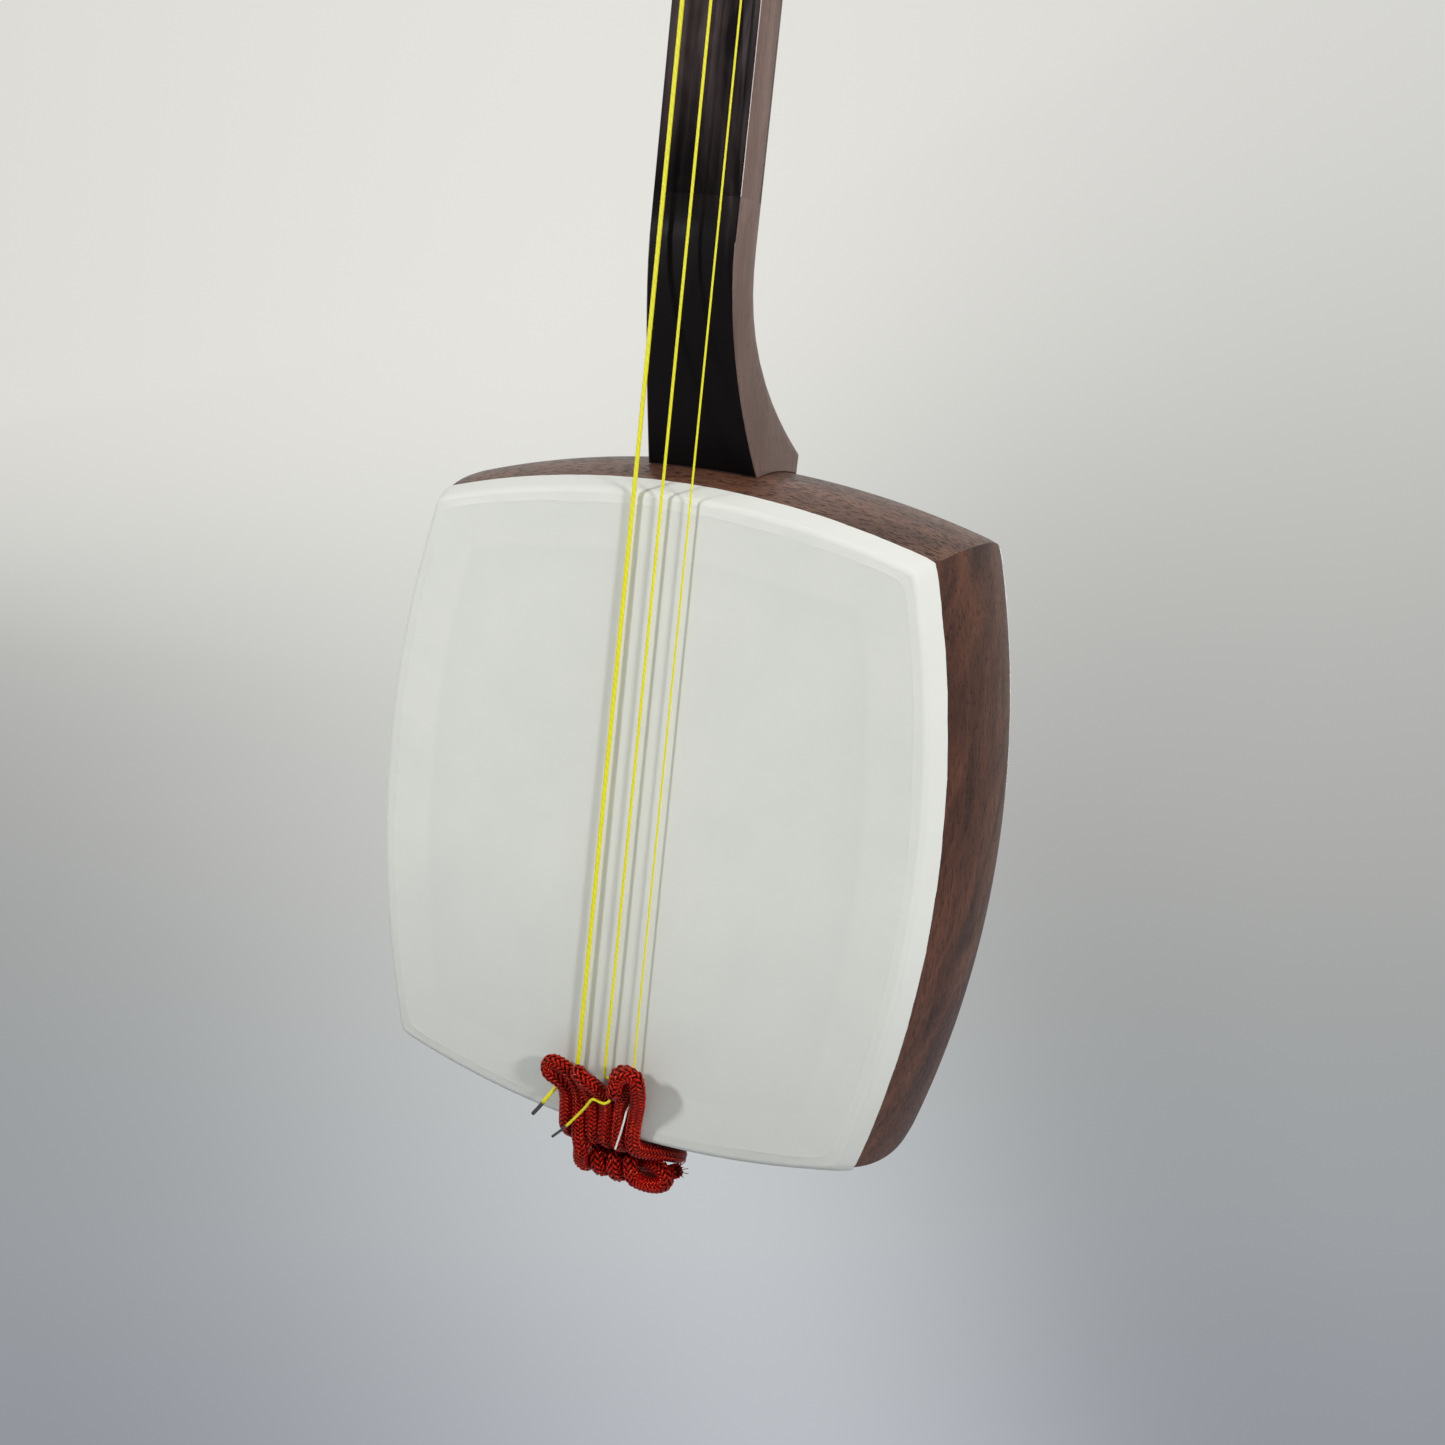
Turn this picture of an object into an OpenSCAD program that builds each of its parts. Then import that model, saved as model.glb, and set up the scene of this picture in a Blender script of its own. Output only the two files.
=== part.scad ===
// A three-stringed shamisen with a take-apart neck, standing upright.
// X runs to the viewer's right, Y runs from the front skin to the back skin, Z runs up the neck.
// The origin is the centre of the back skin's outer face.

/* [Body] */
// Width of a skin's flat face between its corners
face_w = 150; // [135:1:165]
// Height of a skin's flat face between its corners
face_h = 171; // [156:1:186]
// Depth of the body over both skins
body_depth = 80; // [74:1:90]
// Bow of each long side between its corners
side_rise = 12; // [8:0.5:15]
// Swell of the walls at mid depth
wall_swell = 9.2; // [7:0.1:11]
// Thickness of the boards at the rim
wall = 15; // [11:1:19]
// Thickness of a skin
skin_t = 0.6; // [0.4:0.1:1.2]
// Depth to which a skin is wrapped over the walls
skin_wrap = 8.8; // [6:0.2:12]

/* [Neck] */
// Distance of the playing face behind the front skin
neck_set_back = 1; // [0:0.5:2]
// Width of the playing face at the lower joint
neck_w_low = 26.2; // [24:0.2:29]
// Width of the playing face below the upper swelling
neck_w_high = 24.8; // [23:0.2:27]
// Thickness of the neck, playing face to back
neck_t = 23.6; // [22:0.2:27]
// Length of the lower neck piece above the body
lower_len = 71.8; // [66:0.2:90]
// Length of the middle neck piece
middle_len = 262; // [200:1:300]
// Length of the upper neck piece, from its joint to the nut
upper_len = 286; // [230:1:320]
// Height over which the breast curves back to the heel
breast_h = 60; // [50:1:64]
// Distance that the playing face drops back at the heel
breast_drop = 20; // [15:0.5:24]
// Extra width at the heel, each side
heel_flare = 4.2; // [2:0.2:6]
// Distance that the heel reaches behind the back of the neck
heel_reach = 35.4; // [30:0.2:38]
// Height of the heel's upright lip
heel_lip = 4.3; // [3:0.1:6]
// Length of the tenons between the neck pieces
tenon_len = 28; // [22:1:30]
// Width and thickness of the tenons between the neck pieces
tenon_w = 12; // [9:0.5:14]
// Clearance round a tenon or the tang, each side
joint_clear = 0.1; // [0.05:0.05:0.3]

/* [Tang] */
// Width of the tang through the body
tang_w = 18; // [14:0.5:20]
// Thickness of the tang in the top board
tang_t = 24; // [20:0.5:28]
// Thickness of the tail pin
pin_t = 18; // [14:0.5:20]
// Length of the tail pin below the bottom board
pin_len = 14; // [10:1:20]
// Bevel on the end of the tail pin
pin_bevel = 2; // [1:0.5:3]

/* [Head] */
// Extra half width of the swelling below the nut
swelling = 2.6; // [1:0.2:4]
// Length of the swelling
swelling_len = 60; // [40:1:80]
// Width of the peg slot at its lower end
slot_w_low = 13.6; // [12.8:0.2:14]
// Width of the peg slot at its upper end
slot_w_high = 11.2; // [10.8:0.2:12]
// Height of the slot's lower end above the head joint
slot_start = 12; // [10:0.5:13]
// Length of the peg slot
slot_len = 90; // [86:1:92]
// Half width of the peg box
box_half_w = 14.4; // [14:0.1:16]
// Half width of the head's swept-back end
head_half_w = 25.6; // [20:0.2:30]
// Length of the tenon that holds the head
head_tenon_len = 20; // [14:1:26]

/* [Nut] */
// Width of the nut along the neck
nut_w = 3; // [2:0.2:4]
// Height of the nut above the playing face
nut_h = 1.6; // [1.2:0.1:2]
// Depth of the nut's groove in the neck
nut_sink = 2.4; // [1.5:0.1:3.5]
// Depth of the valley under the first string
valley_depth = 1.2; // [0.6:0.1:2]

/* [Pegs] */
// Diameter of a peg's shaft
peg_d = 8; // [7:0.2:8.6]
// Running clearance between a peg and its bores, radial
peg_clear = 0.05; // [0.02:0.01:0.1]
// Spacing of the pegs along the slot
peg_pitch = 26; // [25:0.5:28]
// Length of a peg's handle
handle_len = 76; // [60:1:90]
// Diameter of a peg's handle over its corners
handle_d = 22.4; // [18:0.2:23]
// Length of the shaft that comes out of the far wall
peg_tip = 2; // [1:0.5:5]
// Outer diameter of a peg's seat ring
ring_d = 14; // [12:0.5:16]
// Thickness of a seat ring
ring_t = 2.8; // [2.2:0.1:3.5]
// Depth to which a seat ring is let into the wall
ring_sink = 1.6; // [1:0.1:2]

/* [Strings] */
// Diameter of the first, thickest string
string_1_d = 1.25; // [1:0.05:1.3]
// Diameter of the second string
string_2_d = 0.85; // [0.7:0.05:0.95]
// Diameter of the third string
string_3_d = 0.6; // [0.5:0.05:0.75]
// Spacing of the strings at the nut
spacing_nut = 7.3; // [6.5:0.1:7.6]
// Spacing of the strings at the tail cord
spacing_tail = 9.3; // [8.8:0.1:9.8]
// Height of the strings over the front skin at the tail cord
tail_height = 2; // [1.8:0.05:2.1]
// Gap between two turns of a winding
turn_gap = 0.45; // [0.42:0.01:0.6]

/* [Tail cord] */
// Diameter of the tail cord
cord_d = 3.8; // [3:0.1:3.9]
// Spacing of the turns under the body's edge
knuckle_pitch = 5.3; // [5.2:0.05:5.4]

/* [Hidden] */
$fn = 96;

wood = "saddlebrown";
rosewood = "#3a2320";
brass = "goldenrod";
red = "firebrick";
yellow = "gold";
white = "whitesmoke";

// Small overlap that keeps a cut from ending on a face
cut = 1;
// Longer than any span of the body
far = 400;
// Gap left between a soft piece and what it rests on
rest_gap = 0.3;

// Places in the body
front_y = -body_depth;
mid_y = -body_depth / 2;
half_w = face_w / 2;
half_h = face_h / 2;
side_r = (half_h ^ 2 + side_rise ^ 2) / (2 * side_rise);
// Equal angles at the corners let the mitred ends of all four boards meet
end_r = side_r * half_w / half_h;
end_rise = side_rise * half_w / half_h;
swell_r = (mid_y ^ 2 + wall_swell ^ 2) / (2 * wall_swell);
body_top = half_h + end_rise + wall_swell - skin_t;
edge_z = -(half_h + end_rise);

// Places along the neck
neck_y = front_y + neck_set_back;
low_joint = body_top + lower_len;
high_joint = low_joint + middle_len;
nut_z = high_joint + upper_len;
head_z = nut_z + 2 * nut_w;
neck_half_low = neck_w_low / 2;
neck_half_high = neck_w_high / 2;
swell_z = head_z - swelling_len;

// Places along the head: the three pegs lie on one leaning line
first_peg_rise = 19;
first_peg = slot_start + first_peg_rise;
peg_lean = 0.1;
peg_back = 20.9;
peg_sides = [-1, 1, -1];
peg_rows = [0, 2, 1];
string_d = [string_1_d, string_2_d, string_3_d];
shaft_r = peg_d / 2;

// Small functions
function unit(v) = v / norm(v);
function signed_power(v, p) = sign(v) * pow(abs(v), p);
function ease(t) = let (u = min(max(t, 0), 1)) u * u * (3 - 2 * u);
function blend_point(a, b, c, d, t) =
  0.5 * (2 * b + (c - a) * t + (2 * a - 5 * b + 4 * c - d) * t ^ 2 + (3 * b - a - 3 * c + d) * t ^ 3);
function smooth(list, steps) = let (last = len(list) - 1) concat(
  [for (i = [0:last - 1]) for (k = [0:steps - 1])
    blend_point(list[max(i - 1, 0)], list[i], list[i + 1], list[min(i + 2, last)], k / steps)],
  [list[last]]
);

// A ring of the neck: flat face in front, straight sides, rounded back
back_steps = 20;
side_share = 0.45;
function neck_ring(half, front, back, power) =
  let (start = front + side_share * (back - front)) concat(
    [[-half, front], [half, front]],
    [for (i = [0:back_steps]) let (a = 180 * i / back_steps)
      [half * signed_power(cos(a), 2 / power), start + (back - start) * signed_power(sin(a), 2 / power)]]
  );
function at_height(ring, z) = [for (p = ring) [p[0], p[1], z]];

// Solid through a list of closed rings with the same number of points
module loft(rings) {
  n = len(rings[0]);
  last = len(rings) - 1;
  polyhedron(
    points = [for (ring = rings) for (p = ring) p],
    faces = concat(
      [[for (j = [0:n - 1]) j]],
      [for (i = [0:last - 1]) for (j = [0:n - 1]) let (k = (j + 1) % n)
        [i * n + j, (i + 1) * n + j, (i + 1) * n + k]],
      [for (i = [0:last - 1]) for (j = [0:n - 1]) let (k = (j + 1) % n)
        [i * n + j, (i + 1) * n + k, i * n + k]],
      [[for (j = [n - 1:-1:0]) last * n + j]]
    )
  );
}

// Directions along a path and a normal carried along it without twist
function tangents(path) = let (last = len(path) - 1)
  [for (i = [0:last]) unit(path[min(i + 1, last)] - path[max(i - 1, 0)])];
function carried(normal, along) = unit(normal - (normal * along) * along);
function normals(along, first) = let (last = len(along) - 1)
  [for (i = 0, n = carried(first, along[0]); i <= last; i = i + 1, n = carried(n, along[min(i, last)])) n];
function tube_rings(path, d, sides) = let (
    along = tangents(path),
    first = abs(along[0][0]) < 0.8 ? [1, 0, 0] : [0, 1, 0],
    out = normals(along, first)
  ) [for (i = [0:len(path) - 1]) let (across = cross(along[i], out[i]))
    [for (j = [0:sides - 1]) let (a = 360 * j / sides)
      path[i] + d / 2 * (cos(a) * out[i] + sin(a) * across)]];
module tube(path, d, sides) {
  loft(tube_rings(path, d, sides));
}

// Least gap of a tube to itself, between points over three diameters apart along it
function lengths(path) =
  [for (i = 0, s = 0; i < len(path); i = i + 1, s = i < len(path) ? s + norm(path[i] - path[i - 1]) : s) s];
function least_gap(path, d) = let (s = lengths(path), last = len(path) - 1)
  min([for (i = [0:last]) for (j = [i + 1:last]) if (s[j] - s[i] > 3 * d) norm(path[i] - path[j])]) - d;

// Body: each wall is a slice of a barrel that turns about an axis parallel to Y
module barrel(r, inset) {
  centre = r + wall_swell - swell_r;
  rotate([90, 0, 0])
    rotate_extrude()
      intersection() {
        union() {
          translate([0, mid_y])
            square([centre, body_depth]);
          translate([centre, 0])
            circle(swell_r - inset);
        }
        translate([0, mid_y + inset])
          square([r + wall_swell, body_depth - 2 * inset]);
      }
}
module at_side(side) {
  translate([side * (half_w + side_rise - side_r), mid_y, 0])
    children();
}
module at_end(side) {
  translate([0, mid_y, side * (half_h + end_rise - end_r)])
    children();
}
module body_shape(inset) {
  intersection() {
    at_side(1)
      barrel(side_r, inset);
    at_side(-1)
      barrel(side_r, inset);
    at_end(1)
      barrel(end_r, inset);
    at_end(-1)
      barrel(end_r, inset);
  }
}
module hollow_barrel(r) {
  difference() {
    barrel(r, skin_t);
    rotate([90, 0, 0])
      cylinder(r = r - wall, h = body_depth + 2 * cut, center = true);
  }
}
// Wedge between the two 45 degree mitres at the ends of a board, pointing up
module mitre_wedge(apex) {
  translate([0, cut, 0])
    rotate([90, 0, 0])
      linear_extrude(body_depth + 2 * cut)
        polygon([[0, apex], [far, apex + far], [-far, apex + far]]);
}
module end_board() {
  intersection() {
    at_end(1)
      hollow_barrel(end_r);
    mitre_wedge(half_h - half_w);
  }
}
module side_board() {
  intersection() {
    at_side(1)
      hollow_barrel(side_r);
    rotate([0, 90, 0])
      mitre_wedge(half_w - half_h);
  }
}
module tang_hole(thickness) {
  translate([0, mid_y, 0])
    linear_extrude(far)
      square([tang_w + 2 * joint_clear, thickness + 2 * joint_clear], center = true);
}
module do_top_board() {
  color(wood)
    difference() {
      end_board();
      tang_hole(tang_t);
    }
}
module do_bottom_board() {
  color(wood)
    mirror([0, 0, 1])
      difference() {
        end_board();
        tang_hole(pin_t);
      }
}
module do_right_board() {
  color(wood)
    side_board();
}
module do_left_board() {
  color(wood)
    mirror([1, 0, 0])
      side_board();
}
module skin(start) {
  color(white)
    difference() {
      intersection() {
        body_shape(0);
        translate([-far, start, -far])
          cube([2 * far, skin_wrap, 2 * far]);
      }
      body_shape(skin_t);
    }
}
module front_skin() {
  skin(front_y);
}
module back_skin() {
  skin(-skin_wrap);
}

// Neck: half width and back face at a height
function neck_half(z) = let (t = (z - low_joint) / (swell_z - low_joint))
  neck_half_low + (neck_half_high - neck_half_low) * t;
function swelling_at(z) = let (t = (z - swell_z) / swelling_len, top = 0.8)
  swelling * (ease(t / top) - 0.75 * ease((t - top) / (1 - top)));
neck_back = neck_y + neck_t;

// Breast and heel: the fall of the playing face, the flare and the reach of the back, all from the height
breast_power = 1.68;
flare_power = 2.2;
reach_power = 2.5;
heel_square = 4;
lip_lean = 0.45;
heel_stations = [0, 0.04, 0.0717, 0.1, 0.14, 0.19, 0.25, 0.32, 0.4, 0.5, 0.6, 0.7, 0.8, 0.9, 1];
heel_depth = 8;
function breast_ring(h) = let (
    fall = 1 - min(h / breast_h, 1),
    reach = 1 - min((max(h, heel_lip) - heel_lip) / (breast_h - heel_lip), 1)
  ) neck_ring(
    neck_half_low + heel_flare * fall ^ flare_power,
    neck_y + breast_drop * fall ^ breast_power,
    neck_back + heel_reach * reach ^ reach_power - lip_lean * max(heel_lip - h, 0),
    2 + heel_square * reach ^ 3
  );
module tenon(z, length, grow) {
  w = tenon_w + 2 * grow;
  translate([-w / 2, neck_y + neck_t / 2 - w / 2, z])
    cube([w, w, length]);
}
module tang() {
  pin_end = -body_top - pin_len;
  translate([-tang_w / 2, 0, 0])
    rotate([90, 0, 90])
      linear_extrude(tang_w)
        polygon([
          [mid_y - tang_t / 2, body_top + heel_lip],
          [mid_y - tang_t / 2, body_top - 2 * wall],
          [mid_y - pin_t / 2, body_top - 3 * wall],
          [mid_y - pin_t / 2, pin_end + pin_bevel],
          [mid_y - pin_t / 2 + pin_bevel, pin_end],
          [mid_y + pin_t / 2 - pin_bevel, pin_end],
          [mid_y + pin_t / 2, pin_end + pin_bevel],
          [mid_y + pin_t / 2, body_top - 3 * wall],
          [mid_y + tang_t / 2, body_top - 2 * wall],
          [mid_y + tang_t / 2, body_top + heel_lip]
        ]);
}
module lower_neck() {
  heights = concat([-heel_depth], [for (s = heel_stations) s * breast_h], [lower_len]);
  color(rosewood)
    union() {
      difference() {
        loft([for (h = heights) at_height(breast_ring(h), body_top + h)]);
        at_end(1)
          barrel(end_r, skin_t - joint_clear);
        tenon(low_joint - tenon_len - cut, tenon_len + 2 * cut, joint_clear);
      }
      tang();
    }
}
module neck_piece(z_list) {
  loft([for (z = z_list)
    at_height(neck_ring(neck_half(z) + swelling_at(z), neck_y, neck_back + swelling_at(z) / 2, 2), z)]);
}
module middle_neck() {
  color(rosewood)
    union() {
      difference() {
        neck_piece([low_joint, high_joint]);
        tenon(high_joint - tenon_len - cut, tenon_len + 2 * cut, joint_clear);
      }
      tenon(low_joint - tenon_len, tenon_len + cut, 0);
    }
}
swell_stations = 15;
module upper_neck() {
  heights = concat([high_joint], [for (i = [0:swell_stations]) swell_z + swelling_len * i / swell_stations]);
  color(rosewood)
    union() {
      difference() {
        neck_piece(heights);
        tenon(head_z - head_tenon_len - cut, head_tenon_len + 2 * cut, joint_clear);
        nut_groove();
        valley();
        nut_slope();
      }
      tenon(high_joint - tenon_len, tenon_len + cut, 0);
    }
}
// The nut carries the second and third strings, the wood beside it carries the first
nut_inset = 1.5;
nut_left = -spacing_nut / 2;
nut_right = neck_half_high - nut_inset;
module nut_groove() {
  translate([nut_left - joint_clear, neck_y - cut, nut_z - nut_w / 2 - joint_clear])
    cube([nut_right - nut_left + 2 * joint_clear, nut_sink + joint_clear + cut, nut_w + 2 * joint_clear]);
}
valley_r = 60;
valley_inset = 0.5;
valley_z = nut_z - 4 * nut_w;
module valley() {
  translate([nut_left - valley_inset - neck_w_low, neck_y + valley_depth - valley_r, valley_z])
    rotate([0, 90, 0])
      cylinder(r = valley_r, h = neck_w_low);
}
// Above the nut the playing face falls back to meet the head, out of the strings' way
nut_fall = 3.6;
module nut_slope() {
  translate([-neck_w_low, 0, 0])
    rotate([90, 0, 90])
      linear_extrude(2 * neck_w_low)
        polygon([
          [neck_y, nut_z], [neck_y + nut_fall, head_z], [neck_y + nut_fall, head_z + cut],
          [neck_y - cut, head_z + cut], [neck_y - cut, nut_z]
        ]);
}
module kamigoma() {
  color(brass)
    translate([nut_left, neck_y, nut_z])
      rotate([90, 0, 90])
        linear_extrude(nut_right - nut_left)
          union() {
            translate([-nut_h + nut_w / 2, -nut_w / 2])
              square([nut_sink + nut_h - nut_w / 2, nut_w]);
            translate([-nut_h + nut_w / 2, 0])
              circle(nut_w / 2);
          }
}

// Head: each row is a height above the head joint, a place behind the playing face, a lean,
// a half width, a half depth and a squareness
head_spread = head_half_w - box_half_w;
head_joint_half = 10.3;
head_rows = [
  [0, nut_fall + head_joint_half, 0, neck_half_high + swelling / 4, head_joint_half, 3],
  [9, 17.2, 4, box_half_w - 0.7, 9.8, 3.2],
  [20, 20, 5, box_half_w - 0.2, 10.6, 3.6],
  [45, 22, 5, box_half_w, 11.2, 4],
  [72, 24.6, 7, box_half_w - 0.1, 11.4, 4],
  [96, 28.3, 13, box_half_w + 0.2, 11.4, 3.8],
  [113, 33.5, 25, box_half_w + 0.2 * head_spread, 10.6, 3.4],
  [127, 41.5, 38, box_half_w + 0.55 * head_spread, 9.4, 3.2],
  [137, 50.5, 48, box_half_w + 0.87 * head_spread, 8.4, 3.2],
  [142, 56.5, 54, head_half_w, 7.6, 3.2]
];
head_points = 24;
function head_ring(row) = [for (i = [0:head_points - 1]) let (
    a = 360 * (i + 0.5) / head_points,
    across = row[3] * signed_power(cos(a), 2 / row[5]),
    deep = row[4] * signed_power(sin(a), 2 / row[5])
  ) [across, neck_y + row[1] + deep * cos(row[2]), head_z + row[0] - deep * sin(row[2])]];
function peg_place(row) = let (s = first_peg + row * peg_pitch)
  [0, neck_y + peg_back + peg_lean * row * peg_pitch, head_z + s];
module peg_slot() {
  low = head_z + slot_start;
  high = low + slot_len - slot_w_high / 2;
  translate([0, cut, 0])
    rotate([90, 0, 0])
      linear_extrude(body_depth + 2 * cut)
        union() {
          polygon([
            [-slot_w_low / 2, low], [slot_w_low / 2, low], [slot_w_high / 2, high], [-slot_w_high / 2, high]
          ]);
          translate([0, high])
            circle(d = slot_w_high);
        }
}
// Lays what follows along a peg's axis, pointing out of the side where its handle is
module along_peg(row) {
  translate(peg_place(row))
    rotate([0, peg_sides[row] * 90, 0])
      children();
}
module tenjin() {
  color(rosewood)
    union() {
      difference() {
        loft([for (row = smooth(head_rows, 2)) head_ring(row)]);
        peg_slot();
        for (row = [0:2])
          along_peg(row) {
            cylinder(r = shaft_r + peg_clear, h = 2 * head_half_w, center = true);
            translate([0, 0, box_half_w - ring_sink])
              cylinder(d = ring_d, h = head_half_w);
          }
      }
      tenon(head_z - head_tenon_len, head_tenon_len + cut, 0);
    }
}
module seat_ring(row) {
  color(brass)
    along_peg(row)
      translate([0, 0, box_half_w - ring_sink])
        difference() {
          cylinder(d = ring_d, h = ring_t);
          translate([0, 0, -cut])
            cylinder(r = shaft_r + peg_clear, h = ring_t + 2 * cut);
        }
}
// Handle: six flats that swell from the shaft to the end, closed by a low dome
handle_sides = 12;
flat_share = 0.9;
handle_rows = [
  [0, 0.44], [0.12, 0.5], [0.35, 0.72], [0.6, 0.92], [0.82, 1], [0.93, 0.97], [0.98, 0.8], [1, 0.45]
];
module handle() {
  loft([for (row = smooth(handle_rows, 2))
    [for (j = [0:handle_sides - 1]) let (
        a = 360 * j / handle_sides,
        r = handle_d / 2 * row[1] * (j % 2 == 0 ? 1 : flat_share)
      ) [r * cos(a), r * sin(a), handle_len * row[0]]]]);
}
module itomaki(row) {
  wall_out = box_half_w - ring_sink + ring_t;
  color(rosewood)
    along_peg(row)
      union() {
        translate([0, 0, -box_half_w - peg_tip])
          cylinder(r = shaft_r, h = wall_out + box_half_w + peg_tip + handle_len / 2);
        translate([0, 0, wall_out + rest_gap])
          handle();
      }
}

// Strings: the lane where each one reaches its peg, and the way its turns run from there
lanes = [-4.2, -3.2, 4.2];
ways = [1, 1, -1];
turns = [4, 5, 5];
loop_rings = 24;
winding_sides = 6;
string_sides = 8;
winding_gap = 0.1;
function winding_r(k) = shaft_r + winding_gap + string_d[k] / 2;
function string_pitch(k) = string_d[k] + turn_gap;
function on_peg(k, r, a, x) = peg_place(peg_rows[k]) + [x, -r * cos(a), r * sin(a)];
// A winding starts beside the string's lane and ends in a straight run off the shaft
function winding_path(k) = let (
    first = lanes[k] + ways[k] * string_pitch(k),
    helix = [for (i = [0:turns[k] * loop_rings]) let (a = 180 + 360 * i / loop_rings)
      on_peg(k, winding_r(k), a, first + ways[k] * string_pitch(k) * i / loop_rings)],
    end = len(helix) - 1,
    entry = unit(helix[0] - helix[1]),
    exit = unit(helix[end] - helix[end - 1])
  ) concat(
    [helix[0] + string_d[k] * entry],
    helix,
    [helix[end] + string_d[k] * exit]
  );
module winding(k) {
  path = winding_path(k);
  echo(str("winding ", k + 1, " least gap"), least_gap(path, string_d[k]));
  color(yellow)
    tube(path, string_d[k], winding_sides);
}

// A point on the front of the body: to the right, out from the skin, up from the body's lower edge
function at_front(p) = [p[0], front_y - p[1], edge_z + p[2]];
// Each string's last stretch: down behind its ear, out through the eye and along its free tail
string_ends = [
  [[-9.3, 2, 21], [-10.2, 1.6, 17.8], [-12, 1.2, 14.8], [-14, 1.7, 12.2], [-15.6, 3.4, 9.8],
    [-17.2, 4.6, 7], [-19.4, 4.8, 3.4], [-21.8, 4.6, 0]],
  [[0, 2, 19.5], [1.6, 2.1, 17.6], [4.2, 3, 16.2], [5.6, 4.9, 15.3], [5.7, 6.9, 14.6], [5.1, 8, 13.4],
    [4, 8.5, 12.8], [2.5, 8.9, 13.1], [1.2, 9.4, 13.6], [0, 9.1, 12.9], [-2.2, 8, 9.6],
    [-5.6, 6.6, 5], [-9.8, 5.8, -0.4], [-14, 5.2, -5]],
  [[9.6, 2, 20], [10.3, 2, 15.4], [10.3, 4, 12.2], [10.4, 6, 10.6], [10.2, 6.5, 8],
    [9.4, 6.3, 4], [8.6, 5.9, 1], [7.9, 5.7, -2]]
];
string_span_end = 40;
nut_heights = [0, nut_h, nut_h];
nut_gap = 0.15;
bend_steps = 4;
wrap_end = 150;
wrap_step = 30;
// Angle at which a straight line from the nut meets the turns on a peg
function meeting_angle(k, from) = let (
    centre = peg_place(peg_rows[k]),
    away = [centre[1] - from[1], from[2] - centre[2]],
    r = shaft_r + rest_gap + string_d[k] / 2
  ) atan2(away[1], away[0]) + acos(r / norm(away));
function string_path(k) = let (
    x = (k - 1) * spacing_nut,
    over_nut = [x, neck_y - nut_heights[k] - nut_gap - string_d[k] / 2, nut_z],
    meet = meeting_angle(k, over_nut),
    r = shaft_r + rest_gap + string_d[k] / 2,
    wrap = [for (a = [meet + wrap_end:-wrap_step:meet]) on_peg(k, r, a, lanes[k])],
    tail = concat([[(k - 1) * spacing_tail, tail_height, string_span_end]], string_ends[k])
  ) concat(wrap, [over_nut], [for (p = smooth(tail, bend_steps)) at_front(p)]);
module string(k) {
  color(yellow)
    tube(string_path(k), string_d[k], string_sides);
}

// Tail cord: one unbroken cord, from an open ring through the turns under the body's edge
// and three ears to the loop round the tail pin
cord_sides = 6;
cord_r = cord_d / 2;
strand_x = 2.25;
function backwards(list) = [for (i = [len(list) - 1:-1:0]) list[i]];
// Half a turn of the cord: its centre, its first arm, its middle arm and its drift meanwhile
turn_step = 30;
function half_turn(centre, first, middle, drift) = [for (a = [0:turn_step:180])
  centre + first * cos(a) + middle * sin(a) + drift * (a / 180 - 1 / 2)];
open_ring = [
  [9.7, -11.4, -13.6], [12, -10, -12.2], [14.3, -8.8, -11.3], [16.6, -8, -11], [18.9, -7.4, -11.8],
  [20.3, -6.9, -13.7], [19.3, -6.5, -15.6], [16.9, -6.4, -16.7], [14.6, -6.4, -17.1], [12.5, -6.2, -17.1],
  [10.8, -5.6, -16.5]
];
// The turns run from the right to the left, each drawn out upright by its own stretch
turn_count = 3;
turn_points = 12;
left_turn = [-6.9, -3.4, -12.1];
right_turn = [left_turn[0] + turn_count * knuckle_pitch, -6.6, -13.6];
turn_r = 2.45;
left_stretch = 0.3;
right_stretch = 0.7;
stretch_ease = 1.5;
knuckles = [for (i = [2:turn_count * turn_points + 2]) let (
    a = 360 * i / turn_points,
    t = (i / turn_points - 1 / 4) / turn_count,
    stretch = right_stretch + (left_stretch - right_stretch) * t,
    lift = stretch * max(-1, min(1, -stretch_ease * cos(a)))
  ) right_turn + (left_turn - right_turn) * t + [0, turn_r * sin(a), lift - turn_r * cos(a)]];
// How a strand passes from under the body over its edge, as outward and upward places
under_edge = [
  [-14.4, -8.35], [-12, -7.5], [-7, -5.85], [-2.5, -4.3], [0.8, -2.9], [2.3, -0.4], [2.5, 4]
];
turn_dip = strand_x * [0, -0.94, -0.34];
wide_dip = [0, -2.5, -2.4];
// The outer left strand hangs lower under the body than the others
left_sag = 4;
function strand_up(x, sag) = [for (p = under_edge) [x, p[0], p[1] + sag * min(0, p[0]) / 14.4]];
function turn_back(x, reach, dip, sag) =
  half_turn([x, -16, -8.95 - sag / 2], [-reach, 0, 0], dip, [0, 0, sag]);
first_strand = [
  [-6.5, 0.2, -11.6], [-5.6, 1.6, -9.2], [-5.3, 2.6, -6.6], [-6, 3, -3.6], [-6.7, 2.7, 0.4]
];
left_ear = concat(
  [[-11.5, 2.6, 8], [-11.8, 3.6, 11.4], [-13, 4.9, 13.8]],
  half_turn([-15.2, 5.6, 17.2], [-0.6, 0, -2.3], [-2.3, 0, 0.6], [0, 0.3, 0]),
  [[-12.6, 5.8, 19.1], [-10.4, 5.5, 17.9], [-8.6, 4.4, 15.2], [-7.6, 3.1, 11.6], [-6.9, 2.6, 8]]
);
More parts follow.
